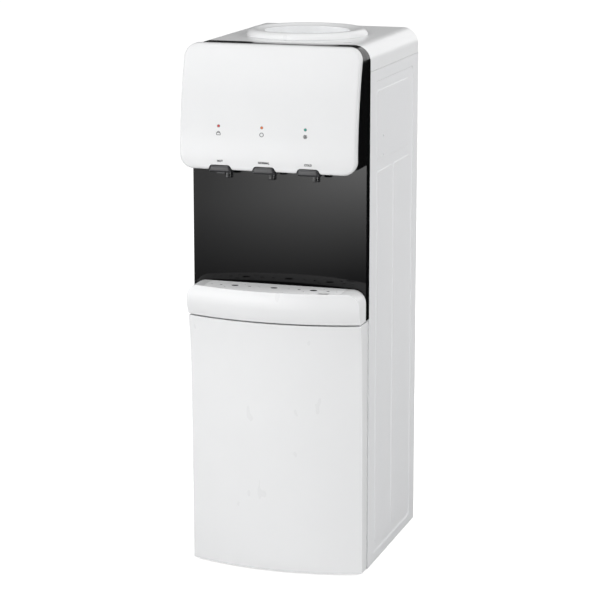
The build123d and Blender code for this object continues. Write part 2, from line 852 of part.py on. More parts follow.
for tap_name, tap_x in zip(tap_names, tap_places):
    with BuildPart() as valve_plunger:
        disc((tap_x, tap_y, seal_foot), seal_radius, seal_height)
        disc((tap_x, tap_y, seal_foot), stem_radius, head_foot + head_height - seal_foot)
        disc((tap_x, tap_y, head_foot), head_radius, head_height)
    valve_plunger.part.label = tap_name + "_valve_plunger"
    export_step(valve_plunger.part, "parts/" + tap_name + "_valve_plunger.step")

# Valve springs: coils between the seal and the bonnet
spring_radius = 4.7
wire_radius = 0.5
spring_turns = 6

spring_foot = seal_foot + seal_height + wire_radius + gap / 2
spring_head = plug_foot - wire_radius - gap / 2

for tap_name, tap_x in zip(tap_names, tap_places):
    with BuildPart() as valve_spring:
        spring_height = spring_head - spring_foot
        with BuildLine():
            coil_path = Helix(
                spring_height / spring_turns,
                spring_height,
                spring_radius,
                center=(tap_x, tap_y, spring_foot),
            )
        with BuildSketch(Plane(origin=coil_path @ 0, z_dir=coil_path % 0)):
            Circle(wire_radius)
        sweep(path=coil_path, is_frenet=True)
    valve_spring.part.label = tap_name + "_valve_spring"
    export_step(valve_spring.part, "parts/" + tap_name + "_valve_spring.step")

# Tray shelf: the white bowed shelf below the alcove, with a pocket for the drip tray
shelf_corner = 22.0
corner_ease = 0.4
pocket_half_width = 122.5
pocket_rear_margin = 2.0
pocket_depth = 38.0
pocket_side_reach = 66.5
pocket_corner = 3.0
shelf_edge = 1.6
# Drop below the tray's top, and how far the side edge of the front stands ahead of the panels
shelf_profile = (
    (tray_top - frame_bottom, 52.0),
    (42.0, 56.8),
    (28.0, front_reach - bow),
    (14.0, 59.7),
    (0, 58.8),
)

pocket_floor = tray_top - pocket_depth
pocket_rear = frame_front - pocket_rear_margin


def bow_at(half):
    """How much of the bow remains in front of a place across the width."""
    return bow * (half / half_width) ** 2


def bowed_plan(half, side_y, rear_y, height, corner=0.0):
    """A plan with a straight rear and a bowed front, as a sketch at a height."""
    with BuildSketch(Plane.XY.offset(height)) as plan:
        with BuildLine():
            Polyline((half, side_y), (half, rear_y), (-half, rear_y), (-half, side_y))
            ThreePointArc((-half, side_y), (0, side_y - bow_at(half)), (half, side_y))
        make_face()
        if corner > 0:
            fillet(plan.vertices(), radius=corner)
    return plan.sketch


def cut_shelf_corners():
    """Round the shelf's two upper corners, through its whole depth."""
    corner_x = half_width + corner_ease - shelf_corner
    corner_z = tray_top + corner_ease - shelf_corner
    cut_size = shelf_corner + overrun
    cut_plane = Plane(origin=(0, frame_front + 2 * overrun, 0), x_dir=(1, 0, 0), z_dir=(0, -1, 0))
    with BuildSketch(cut_plane) as outline:
        for side in (-1, 1):
            with Locations((side * (corner_x + cut_size / 2), corner_z + cut_size / 2)):
                Rectangle(cut_size, cut_size)
        with Locations((-corner_x, corner_z), (corner_x, corner_z)):
            Circle(shelf_corner, mode=Mode.SUBTRACT)
    extrude(outline.sketch, amount=front_reach + 2 * overrun, mode=Mode.SUBTRACT)


with BuildPart() as tray_shelf:
    shelf_sections = [
        bowed_plan(half_width, face_y - reach, frame_front, tray_top - drop).face()
        for drop, reach in shelf_profile
    ]
    loft(shelf_sections)
    fillet(tray_shelf.faces().sort_by(Axis.Z)[-1].edges().sort_by(Axis.Y)[0], radius=shelf_edge)
    lip = alcove_face(half_width, -gap, frame_front - overrun, alcove_floor)
    extrude(lip, amount=tray_top - alcove_floor)
    cut_shelf_corners()
    pocket = bowed_plan(
        pocket_half_width, face_y - pocket_side_reach, pocket_rear, pocket_floor, pocket_corner
    )
    extrude(pocket, amount=tray_top - pocket_floor + overrun, mode=Mode.SUBTRACT)
tray_shelf.part.label = "tray_shelf"
export_step(tray_shelf.part, "parts/tray_shelf.step")

# Drip tray and grille: a lift-out basin, and the perforated plate that covers it
tray_gap = 0.5
basin_wall = 1.6
grille_thickness = 2.6
# Places along the width, as offsets from the middle hole, and the size of each hole
row_holes = ((26.5, 2.2), (44.5, 3.4), (96.0, 3.4), (112.0, 2.2))
cup_pitch = 70.5
cup_hole_radius = 6.6
ring_radius = 19.5
ring_width = 2.2
ring_arc = 30.0
ring_angle = 52.0
grille_row_reach = 47.0

grille_foot = tray_top - grille_thickness
basin_half = pocket_half_width - tray_gap
basin_side_y = face_y - pocket_side_reach + tray_gap
basin_rear_y = pocket_rear - tray_gap
basin_corner = pocket_corner - tray_gap

with BuildPart() as drip_tray:
    tray_foot = pocket_floor
    basin = bowed_plan(basin_half, basin_side_y, basin_rear_y, tray_foot, basin_corner)
    extrude(basin, amount=grille_foot - tray_foot)
    basin_hollow = bowed_plan(
        basin_half - basin_wall,
        basin_side_y + basin_wall,
        basin_rear_y - basin_wall,
        tray_foot + basin_wall,
        basin_corner - basin_wall,
    )
    extrude(basin_hollow, amount=grille_foot - tray_foot, mode=Mode.SUBTRACT)
drip_tray.part.label = "drip_tray"
export_step(drip_tray.part, "parts/drip_tray.step")

with BuildPart() as drip_grille:
    plate = bowed_plan(basin_half, basin_side_y, basin_rear_y, grille_foot, basin_corner)
    extrude(plate, amount=grille_thickness)
    row_y = face_y - grille_row_reach
    with BuildSketch(Plane.XY.offset(grille_foot - overrun)):
        for side in (-1, 1):
            for hole_x, hole_radius in row_holes:
                with Locations((side * hole_x, row_y)):
                    Circle(hole_radius)
        for cup_x in (-cup_pitch, 0, cup_pitch):
            with Locations((cup_x, row_y)):
                Circle(cup_hole_radius)
            if cup_x != 0:
                for middle_angle in (ring_angle, 180 - ring_angle, 180 + ring_angle, -ring_angle):
                    with Locations((cup_x, row_y)):
                        SlotArc(
                            CenterArc((0, 0), ring_radius, middle_angle - ring_arc / 2, ring_arc),
                            ring_width,
                        )
    extrude(amount=grille_thickness + 2 * overrun, mode=Mode.SUBTRACT)
drip_grille.part.label = "drip_grille"
export_step(drip_grille.part, "parts/drip_grille.step")

# Cabinet door: a bowed shell that flares at its top, hinged on its right edge
door_foot_gap = 2.0
door_head_gap = 3.0
door_wall = 2.5
door_corner = 3.0
hinge_boss_radius = 6.6
hinge_boss_height = 14.0
hinge_pin_depth = 10.0
door_reach_foot = 35.0
door_reach_head = 51.5
# Share of the door's height, and share of the way from its foot's reach to its head's reach
door_profile_shares = (
    (0.0, 0.0),
    (0.16, 0.06),
    (0.33, 0.121),
    (0.5, 0.182),
    (0.66, 0.255),
    (0.82, 0.406),
    (0.93, 0.667),
    (1.0, 1.0),
)

opening_x = hinge_x - hinge_boss_radius
door_foot = foot_height + door_foot_gap
door_head = frame_bottom - door_head_gap


def door_plan(height, reach, inset, rear_y):
    """The door's plan at a height, with the hinge edge rounded about the hinge pin."""
    left = -half_width + inset
    right = half_width - inset
    side_y = face_y - reach + inset
    mid_front = (0, side_y - bow)
    corner_y = door_rear_y - inset
    turn = hinge_radius - inset
    corner_mid = (hinge_x + turn * cos(radians(45)), hinge_y + turn * sin(radians(45)))
    rear_points = [(hinge_x, corner_y)]
    if rear_y > corner_y:
        rear_points += [(opening_x, corner_y), (opening_x, rear_y)]
    with BuildSketch(Plane.XY.offset(height)) as plan:
        with BuildLine():
            Polyline((right, side_y), (right, hinge_y))
            ThreePointArc((right, hinge_y), corner_mid, (hinge_x, corner_y))
            Polyline(*rear_points, (left, rear_y), (left, side_y))
            ThreePointArc((left, side_y), mid_front, (right, side_y))
        make_face()
    return plan.sketch.face()


def door_loft(low, high, inset, rear_y, mode=Mode.ADD):
    """Add or cut the door's bowed body between two heights."""
    sections = []
    for height_share, reach_share in door_profile_shares:
        height = low + height_share * (high - low)
        reach = door_reach_foot + reach_share * (door_reach_head - door_reach_foot)
        sections.append(door_plan(height, reach, inset, rear_y))
    loft(sections, mode=mode)


with BuildPart() as cabinet_door:
    door_loft(door_foot, door_head, 0, door_rear_y)
    door_loft(
        door_foot + door_wall, door_head - door_wall, door_wall, door_rear_y + overrun, mode=Mode.SUBTRACT
    )
    upper_boss_foot = door_head - door_wall / 2 - hinge_boss_height
    for boss_foot in (door_foot + door_wall / 2, upper_boss_foot):
        disc((hinge_x, hinge_y, boss_foot), hinge_boss_radius, hinge_boss_height)
    for pin_z in (door_foot - overrun, door_head - hinge_pin_depth):
        disc((hinge_x, hinge_y, pin_z), hinge_hole_radius, hinge_pin_depth + overrun, mode=Mode.SUBTRACT)
cabinet_door.part.label = "cabinet_door"
export_step(cabinet_door.part, "parts/cabinet_door.step")

# Door liner: the flat inner skin that closes the shell of the door
liner_thickness = 2.0
liner_rib = 3.0
liner_margin = 26.0
liner_corner = 14.0

with BuildPart() as door_liner:
    liner_x = (door_wall + gap - half_width, opening_x - gap)
    liner_z = (door_foot + door_wall + gap, door_head - door_wall - gap)
    block(liner_x, (door_rear_y - liner_thickness, door_rear_y), liner_z)
    liner_middle = ((liner_x[0] + liner_x[1]) / 2, door_rear_y - liner_thickness, sum(liner_z) / 2)
    liner_plane = Plane(origin=liner_middle, x_dir=(1, 0, 0), z_dir=(0, -1, 0))
    tapered_pad(
        liner_plane,
        (liner_x[1] - liner_x[0] - 2 * liner_margin, liner_z[1] - liner_z[0] - 2 * liner_margin),
        liner_corner,
        liner_rib,
        liner_rib,
    )
door_liner.part.label = "door_liner"
export_step(door_liner.part, "parts/door_liner.step")

# Hinge pins: one up from the pan's tongue, one down from the front frame
upper_pin_grip = 4.0

with BuildPart() as hinge_pins:
    disc((hinge_x, hinge_y, foot_height), hinge_pin_radius, door_foot + hinge_pin_depth - foot_height - gap)
    upper_pin_foot = door_head - hinge_pin_depth + gap
    upper_pin_length = frame_bottom + upper_pin_grip - upper_pin_foot
    disc((hinge_x, hinge_y, upper_pin_foot), hinge_pin_radius, upper_pin_length)
hinge_pins.part.label = "hinge_pins"
export_step(hinge_pins.part, "parts/hinge_pins.step")

# Storage liner: the box behind the door, with a flange on the panels' front returns
liner_wall = 2.0
store_rear_margin = 150.0
store_side_inset = 10.0
store_head_drop = 24.0
store_flange_width = 8.0

flange_front = face_y + return_wall
store_half = inner_wall_x - store_side_inset
store_foot = pan_top
store_depth = body_depth - store_rear_margin
store_head = frame_bottom - store_head_drop

with BuildPart() as storage_liner:
    block(
        (-inner_wall_x, inner_wall_x),
        (flange_front, flange_front + liner_wall),
        (store_foot, frame_bottom),
    )
    block((-store_half, store_half), (flange_front, flange_front + store_depth), (store_foot, store_head))
    block(
        (liner_wall - store_half, store_half - liner_wall),
        (flange_front - overrun, flange_front + store_depth - liner_wall),
        (store_foot + liner_wall, store_head - liner_wall),
        mode=Mode.SUBTRACT,
    )
storage_liner.part.label = "storage_liner"
export_step(storage_liner.part, "parts/storage_liner.step")

# Door catch: a magnet strip on the flange above the storage opening
catch_width = 52.0
catch_height = 12.0
catch_inset = 55.0
catch_gap = 0.3

catch_x = catch_inset - half_width

with BuildPart() as door_catch:
    catch_middle = (store_head + frame_bottom) / 2
    block(
        (catch_x - catch_width / 2, catch_x + catch_width / 2),
        (door_rear_y + catch_gap, flange_front),
        (catch_middle - catch_height / 2, catch_middle + catch_height / 2),
    )
door_catch.part.label = "door_catch"
export_step(door_catch.part, "parts/door_catch.step")

# Cold tank: a stainless vessel with a lid, wound with the evaporator and packed in foam
tank_radius = 65.0
tank_wall = 0.8
tank_height = 140.0
tank_drop = 42.0
lid_height = 5.0
lid_lip = 6.0
spigot_radius = 4.0
spigot_bore = 2.8
spigot_length = 20.0
coil_radius = 3.0
coil_turns = 8
coil_pitch = 12.0
foam_half = 85.0
foam_corner = 20.0
foam_floor = 24.0
hose_radius = 6.0
hose_hole = 6.6
normal_outlet_x = 5.0
cold_outlet_x = 46.0
feed_outlet_x = 50.0
feed_outlet_shift = 20.0

tank_head = seam_height - tank_drop
tank_foot = tank_head - tank_height
foam_foot = tank_foot - foam_floor
coil_center_radius = tank_radius + coil_radius + gap
coil_foot = tank_foot + (tank_height - coil_turns * coil_pitch) / 2
outlet_places = (
    (normal_outlet_x, bottle_y),
    (cold_outlet_x, bottle_y),
    (feed_outlet_x - tank_wall, bottle_y + feed_outlet_shift),
)

with BuildPart() as cold_tank:
    disc((0, bottle_y, tank_foot), tank_radius, tank_height)
    disc((0, bottle_y, tank_foot + tank_wall), tank_radius - tank_wall, tank_height, mode=Mode.SUBTRACT)
    for outlet in outlet_places:
        disc((*outlet, tank_foot - spigot_length), spigot_radius, spigot_length)
    for outlet in outlet_places:
        disc(
            (*outlet, tank_foot - spigot_length - overrun),
            spigot_bore,
            spigot_length + 2 * overrun,
            mode=Mode.SUBTRACT,
        )
cold_tank.part.label = "cold_tank"
export_step(cold_tank.part, "parts/cold_tank.step")

with BuildPart() as cold_tank_lid:
    disc((0, bottle_y, tank_head), tank_radius, lid_height)
    disc((0, bottle_y, tank_head - lid_lip), tank_radius - tank_wall - gap, lid_lip)
    disc(
        (0, bottle_y, tank_head - lid_lip - overrun),
        probe_radius + gap,
        lid_height + lid_lip + 2 * overrun,
        mode=Mode.SUBTRACT,
    )
cold_tank_lid.part.label = "cold_tank_lid"
export_step(cold_tank_lid.part, "parts/cold_tank_lid.step")

with BuildPart() as evaporator_coil:
    with BuildLine():
        winding = Helix(
            coil_pitch, coil_turns * coil_pitch, coil_center_radius, center=(0, bottle_y, coil_foot)
        )
    with BuildSketch(Plane(origin=winding @ 0, z_dir=winding % 0)):
        Circle(coil_radius)
    sweep(path=winding, is_frenet=True)
evaporator_coil.part.label = "evaporator_coil"
export_step(evaporator_coil.part, "parts/evaporator_coil.step")

with BuildPart() as cold_tank_foam:
    with BuildSketch(Plane.XY.offset(foam_foot)):
        with Locations((0, bottle_y)):
            RectangleRounded(2 * foam_half, 2 * foam_half, foam_corner)
    extrude(amount=tank_head - foam_foot)
    disc((0, bottle_y, tank_foot), tank_radius + gap, tank_height + overrun, mode=Mode.SUBTRACT)
    disc(
        (0, bottle_y, coil_foot - 2 * coil_radius),
        coil_center_radius + coil_radius + gap,
        coil_turns * coil_pitch + 4 * coil_radius,
        mode=Mode.SUBTRACT,
    )
    for outlet in outlet_places:
        disc((*outlet, foam_foot - overrun), hose_hole, foam_floor + 2 * overrun, mode=Mode.SUBTRACT)
    block(
        (-foam_half - overrun, foam_half + overrun),
        (bottle_y - gap / 2, bottle_y + gap / 2),
        (foam_foot - overrun, tank_head + overrun),
        mode=Mode.SUBTRACT,
    )
cold_tank_foam.part.label = "cold_tank_foam"
export_step(cold_tank_foam.part, "parts/cold_tank_foam.step")

# Hot tank: a smaller vessel in a felt jacket, with a heater band and a drain pipe
hot_radius = 45.0
hot_wall = 1.2
hot_height = 120.0
hot_drop = 170.0
hot_setback = 190.0
hot_spigot_length = 14.0
jacket_thickness = 13.0
band_thickness = 3.0
band_height = 30.0
band_rise = 18.0
feed_inlet_x = 25.0
drain_x = -25.0
drain_drop = 22.0
drain_pipe_radius = 5.0
drain_pipe_bore = 3.5
drain_end_reach = 13.0
drain_turn = 12.0

hot_y = face_y + hot_setback
hot_foot = foam_foot - hot_drop
hot_head = hot_foot + hot_height
panel_rear = back_y - return_wall
drain_z = hot_foot - drain_drop
band_foot = hot_foot + band_rise


def pipe(points, turn, outer, bore):
    """A hollow round pipe along straight runs joined by equal turns."""
    with BuildLine() as route:
        FilletPolyline(*points, radius=turn)
    start = route.line @ 0
    ring_plane = Plane(origin=start, z_dir=route.line % 0)
    with BuildSketch(ring_plane) as ring:
        Circle(outer)
        Circle(bore, mode=Mode.SUBTRACT)
    sweep(ring.sketch, path=route.line)


with BuildPart() as hot_tank:
    disc((0, hot_y, hot_foot), hot_radius, hot_height)
    disc(
        (0, hot_y, hot_foot + hot_wall), hot_radius - hot_wall, hot_height - 2 * hot_wall, mode=Mode.SUBTRACT
    )
    disc((0, hot_y, hot_head), spigot_radius, hot_spigot_length)
    disc((feed_inlet_x, hot_y, hot_foot - hot_spigot_length), spigot_radius, hot_spigot_length)
    disc((0, hot_y, hot_head - overrun), spigot_bore, hot_spigot_length + 2 * overrun, mode=Mode.SUBTRACT)
    disc(
        (feed_inlet_x, hot_y, hot_foot - hot_spigot_length - overrun),
        spigot_bore,
        hot_spigot_length + 2 * overrun,
        mode=Mode.SUBTRACT,
    )
    drain_route = (
        (drain_x, hot_y, hot_foot + hot_wall / 2),
        (drain_x, hot_y, drain_z),
        (drain_x, panel_rear + drain_end_reach, drain_z),
    )
    pipe(drain_route, drain_turn, drain_pipe_radius, drain_pipe_bore)
hot_tank.part.label = "hot_tank"
export_step(hot_tank.part, "parts/hot_tank.step")

with BuildPart() as hot_tank_jacket:
    jacket_outer = hot_radius + jacket_thickness
    disc((0, hot_y, hot_foot), jacket_outer, hot_height + jacket_thickness)
    disc((0, hot_y, hot_foot - overrun), hot_radius + gap, hot_height + gap + overrun, mode=Mode.SUBTRACT)
    disc(
        (0, hot_y, band_foot - gap),
        hot_radius + gap + band_thickness + gap,
        band_height + 2 * gap,
        mode=Mode.SUBTRACT,
    )
    disc((0, hot_y, hot_head), hose_hole, jacket_thickness + overrun, mode=Mode.SUBTRACT)
hot_tank_jacket.part.label = "hot_tank_jacket"
export_step(hot_tank_jacket.part, "parts/hot_tank_jacket.step")

with BuildPart() as heater_band:
    disc((0, hot_y, band_foot), hot_radius + gap + band_thickness, band_height)
    disc((0, hot_y, band_foot - overrun), hot_radius + gap, band_height + 2 * overrun, mode=Mode.SUBTRACT)
heater_band.part.label = "heater_band"
export_step(heater_band.part, "parts/heater_band.step")

# Tank frame: a folded shelf between the side panels, with a cradle for the hot tank
shelf_front_margin = 50.0
shelf_rear_margin = 20.0
shelf_fold = 15.0
cradle_half = 60.0
cradle_depth = 40.0

shelf_sheet_foot = foam_foot - sheet

with BuildPart() as tank_frame:
    shelf_y = (face_y + shelf_front_margin, back_y - shelf_rear_margin)
    block((-inner_wall_x, inner_wall_x), shelf_y, (shelf_sheet_foot, foam_foot))
    for fold_x in (-inner_wall_x, inner_wall_x - sheet):
        block((fold_x, fold_x + sheet), shelf_y, (foam_foot - shelf_fold, foam_foot))
    cradle_y = (hot_y - cradle_depth / 2, hot_y + cradle_depth / 2)
    block((-cradle_half - sheet, cradle_half + sheet), cradle_y, (hot_foot - sheet, hot_foot))
    for leg_x in (-cradle_half - sheet, cradle_half):
        block((leg_x, leg_x + sheet), cradle_y, (hot_foot - sheet, foam_foot))
    for outlet in outlet_places:
        disc((*outlet, shelf_sheet_foot - overrun), hose_hole, sheet + 2 * overrun, mode=Mode.SUBTRACT)
    disc((feed_inlet_x, hot_y, hot_foot - 2 * overrun), hose_hole, 3 * overrun, mode=Mode.SUBTRACT)
    disc((drain_x, hot_y, hot_foot - 2 * overrun), drain_pipe_radius + gap, 3 * overrun, mode=Mode.SUBTRACT)
tank_frame.part.label = "tank_frame"
export_step(tank_frame.part, "parts/tank_frame.step")

# Hoses: silicone tubes pushed over the spigots and the taps' nipples
hose_grip = 8.0
hose_turn = 13.0
hose_rise_setback = 36.0
hose_level_drop = 22.0
feed_side_x = 84.0
feed_low_drop = 30.0

hose_bore = spigot_radius + pin_gap
hose_level = foam_foot - hose_level_drop
rise_y = face_y + hose_rise_setback
nipple_grip_y = shank_end_y + nipple_length - hose_grip
outlet_grip = tank_foot - spigot_length + hose_grip


def tap_hose(start, tap_x):
    """A hose from a spigot, forward under the tanks and up to a tap's nipple."""
    route = (
        start,
        (start[0], start[1], hose_level),
        (tap_x, rise_y, hose_level),
        (tap_x, rise_y, tap_axis_height),
        (tap_x, nipple_grip_y, tap_axis_height),
    )
    with BuildPart() as hose:
        pipe(route, hose_turn, hose_radius, hose_bore)
    return hose


hose_starts = (
    (0, hot_y, hot_head + hot_spigot_length - hose_grip),
    (*outlet_places[0], outlet_grip),
    (*outlet_places[1], outlet_grip),
)
for tap_name, tap_x, hose_start in zip(tap_names, tap_places, hose_starts):
    tap_supply = tap_hose(hose_start, tap_x)
    tap_supply.part.label = tap_name + "_hose"
    export_step(tap_supply.part, "parts/" + tap_name + "_hose.step")

with BuildPart() as feed_hose:
    feed_top = outlet_places[2]
    feed_low = hot_foot - feed_low_drop
    feed_route = (
        (*feed_top, outlet_grip),
        (*feed_top, hose_level),
        (feed_side_x, feed_top[1], hose_level),
        (feed_side_x, feed_top[1], feed_low),
        (feed_inlet_x, hot_y, feed_low),
        (feed_inlet_x, hot_y, hot_foot - hot_spigot_length + hose_grip),
    )
    pipe(feed_route, hose_turn, hose_radius, hose_bore)
feed_hose.part.label = "feed_hose"
export_step(feed_hose.part, "parts/feed_hose.step")

# Compressor: a domed steel pot on a foot plate, with rubber grommets on the pan
pot_radius = 54.0
pot_wall = 7.0
pot_height = 132.0
pot_dome = 22.0
compressor_x = -12.0
compressor_rear_margin = 75.0
grommet_radius = 9.0
grommet_height = 10.0
foot_plate_sheet = 2.0
foot_plate_width = 132.0
foot_plate_depth = 96.0
grommet_inset = 12.0
stub_radius = 3.2
stub_length = 12.0
stub_rise = 92.0

pot_y = back_y - compressor_rear_margin
plate_foot = foot_height + sheet + grommet_height
pot_foot = plate_foot + foot_plate_sheet
stub_z = pot_foot + stub_rise

with BuildPart() as compressor:
    disc((compressor_x, pot_y, pot_foot), pot_radius, pot_height)
    fillet(compressor.edges().group_by(Axis.Z)[-1], radius=pot_dome)
    disc(
        (compressor_x, pot_y, pot_foot + pot_wall),
        pot_radius - pot_wall,
        pot_height - 2 * pot_wall - pot_dome / 2,
        mode=Mode.SUBTRACT,
    )
    block(
        (compressor_x - foot_plate_width / 2, compressor_x + foot_plate_width / 2),
        (pot_y - foot_plate_depth / 2, pot_y + foot_plate_depth / 2),
        (plate_foot, pot_foot),
    )
    cross_rod((compressor_x + pot_radius - pot_wall, pot_y, stub_z), stub_radius, pot_wall + stub_length)
compressor.part.label = "compressor"
export_step(compressor.part, "parts/compressor.step")

with BuildPart() as compressor_grommets:
    with Locations((compressor_x, pot_y, foot_height + sheet)):
        with GridLocations(
            foot_plate_width - 2 * grommet_inset, foot_plate_depth - 2 * grommet_inset, 2, 2
        ):
            Cylinder(grommet_radius, grommet_height, align=(Align.CENTER, Align.CENTER, Align.MIN))
compressor_grommets.part.label = "compressor_grommets"
export_step(compressor_grommets.part, "parts/compressor_grommets.step")

# Condenser: one serpentine tube in two slotted strips, with wires on both sides
tube_radius = 2.4
rib_wire_radius = 0.8
run_half = 104.0
run_count = 8
lowest_run_height = 190.0
highest_run_drop = 48.0
wire_overhang = 14.0
wire_count = 17
wire_side_margin = 2.0
wire_gap = 0.05
strip_x = 80.0
strip_foot_width = 12.0
strip_end_margin = 9.0
tail_x = 112.0

wire_outer_y = back_y + rear_reach - rib_wire_radius
tube_y = wire_outer_y - rib_wire_radius - tube_radius - wire_gap
wire_inner_y = tube_y - tube_radius - rib_wire_radius - wire_gap
highest_run_height = drain_z - highest_run_drop
run_pitch = (highest_run_height - lowest_run_height) / (run_count - 1)
run_heights = [lowest_run_height + step * run_pitch for step in range(run_count)]
wire_pitch = 2 * (strip_x - strip_foot_width / 2 - wire_side_margin) / (wire_count - 1)
bend_radius = 0.46 * run_pitch


def serpentine_points():
    """The corners of the condenser's tube, from the compressor's stub to its upper end."""
    stub_end = compressor_x + pot_radius + stub_length + gap
    points = [
        (stub_end, pot_y, stub_z),
        (tail_x, pot_y, stub_z),
        (tail_x, tube_y, stub_z),
        (tail_x, tube_y, lowest_run_height),
    ]
    side = -1
    for height in run_heights[1:]:
        points.append((side * run_half, tube_y, height - run_pitch))
        points.append((side * run_half, tube_y, height))
        side = -side
    points.append((side * run_half, tube_y, highest_run_height))
    return points


with BuildPart() as condenser_wires:
    wire_foot = lowest_run_height - wire_overhang
    wire_length = highest_run_height - lowest_run_height + 2 * wire_overhang
    for wire_y in (wire_inner_y, wire_outer_y):
        with Locations((0, wire_y, wire_foot)):
            with GridLocations(wire_pitch, wire_pitch, wire_count, 1):
                Cylinder(rib_wire_radius, wire_length, align=(Align.CENTER, Align.CENTER, Align.MIN))
condenser_wires.part.label = "condenser_wires"
export_step(condenser_wires.part, "parts/condenser_wires.step")

strip_z = (lowest_run_height - strip_end_margin, highest_run_height + strip_end_margin)

with BuildPart() as condenser:
    for side in (-1, 1):
        web = sorted((side * strip_x, side * (strip_x + sheet)))
        foot = sorted((side * strip_x, side * (strip_x + strip_foot_width)))
        block(web, (panel_rear, back_y + rear_reach), strip_z)
        block(foot, (panel_rear, panel_rear + sheet), strip_z)
    for run_z in run_heights:
        cross_rod(
            (-strip_x - overrun, tube_y, run_z),
            tube_radius + pin_gap,
            2 * (strip_x + overrun),
            mode=Mode.SUBTRACT,
        )
    with BuildLine() as tube_route:
        FilletPolyline(*serpentine_points(), radius=bend_radius)
    with BuildSketch(Plane(origin=tube_route.line @ 0, z_dir=tube_route.line % 0)) as tube_end:
        Circle(tube_radius)
    sweep(tube_end.sketch, path=tube_route.line)
condenser.part.label = "condenser"
export_step(condenser.part, "parts/condenser.step")

# Back panel: a steel sheet with air slots, a switch opening, a drain hole and a gland hole
back_sheet = 1.0
back_panel_foot = 168.0
vent_length = 60.0
vent_height = 4.0
vent_pitch_x = 80.0
vent_pitch_z = 12.0
vent_rows = 9
vent_columns = 3
vent_drop = 264.0
switch_inset = 61.0
switch_drop = 74.0
switch_box_width = 52.0
switch_box_height = 26.0
gland_inset = 21.0
gland_z = 190.0
gland_radius = 6.0

panel_front = panel_rear - back_sheet
vent_height_middle = seam_height - vent_drop
switch_z = seam_height - switch_drop
switch_x = switch_inset - inner_wall_x
gland_x = inner_wall_x - gland_inset
back_plane = Plane(origin=(0, panel_rear, 0), x_dir=(-1, 0, 0), z_dir=(0, 1, 0))

with BuildPart() as back_panel:
    panel_half = inner_wall_x - gap
    block((-panel_half, panel_half), (panel_front, panel_rear), (back_panel_foot, seam_height - gap))
    with BuildSketch(back_plane):
        with Locations((0, vent_height_middle)):
            with GridLocations(vent_pitch_x, vent_pitch_z, vent_columns, vent_rows):
                SlotOverall(vent_length, vent_height)
        with Locations((-switch_x, switch_z)):
            Rectangle(switch_box_width + 2 * gap, switch_box_height + 2 * gap)
        with Locations((-gland_x, gland_z)):
            Circle(gland_radius + gap)
        with Locations((-drain_x, drain_z)):
            Circle(drain_pipe_radius + gap)
        with Locations(*[(side * screw_column_x, z) for side in (-1, 1) for z in screw_heights]):
            Circle(screw_shank + pin_gap)
    extrude(amount=-back_sheet - overrun, mode=Mode.SUBTRACT)
back_panel.part.label = "back_panel"
export_step(back_panel.part, "parts/back_panel.step")

# Screws: pan heads outside the rear returns
screw_head_radius = 3.2
screw_head_height = 1.8
screw_length = 8.0

with BuildPart() as screws:
    for side in (-1, 1):
        for screw_z in screw_heights:
            rod((side * screw_column_x, back_y - screw_length, screw_z), screw_shank, screw_length)
            rod((side * screw_column_x, back_y, screw_z), screw_head_radius, screw_head_height)
screws.part.label = "screws"
export_step(screws.part, "parts/screws.step")

# Cord gland: the tube in the back panel where the supply cord leaves
gland_bore = 3.6
gland_flange_radius = 9.0
gland_flange = 2.0
gland_inner = 8.0
gland_outer = 12.0

with BuildPart() as cord_gland:
    rod((gland_x, panel_rear - gland_inner, gland_z), gland_radius, gland_inner + gland_outer)
    rod((gland_x, panel_rear, gland_z), gland_flange_radius, gland_flange)
    rod(
        (gland_x, panel_rear - gland_inner - overrun, gland_z),
        gland_bore,
        gland_inner + gland_outer + 2 * overrun,
        mode=Mode.SUBTRACT,
    )
cord_gland.part.label = "cord_gland"
export_step(cord_gland.part, "parts/cord_gland.step")

# Drain cap: a cup that closes the end of the drain pipe
cap_wall = 2.5
cap_length = 12.0

with BuildPart() as drain_cap:
    cap_start_y = panel_rear + drain_end_reach - cap_length + cap_wall + gap
    rod((drain_x, cap_start_y, drain_z), drain_pipe_radius + pin_gap + cap_wall, cap_length)
    rod(
        (drain_x, cap_start_y - overrun, drain_z),
        drain_pipe_radius + pin_gap,
        cap_length - cap_wall + overrun,
        mode=Mode.SUBTRACT,
    )
drain_cap.part.label = "drain_cap"
export_step(drain_cap.part, "parts/drain_cap.step")

# Switches: two rockers in one box, each tipped to its off side
switch_flange = 1.5
switch_flange_margin = 2.5
switch_depth = 14.0
rocker_width = 19.0
rocker_height = 19.6
rocker_gap = 0.4
rocker_tilt = 8.0
rocker_pivot_depth = 2.0
rocker_thickness = 3.0
rocker_crown = 3.6
trunnion_radius = 1.2
trunnion_length = 1.2
switch_divider = 4.0

rocker_places = [switch_x + side * (rocker_width / 2 + rocker_gap + switch_divider / 2) for side in (-1, 1)]
pivot_y = panel_rear + switch_flange - rocker_pivot_depth

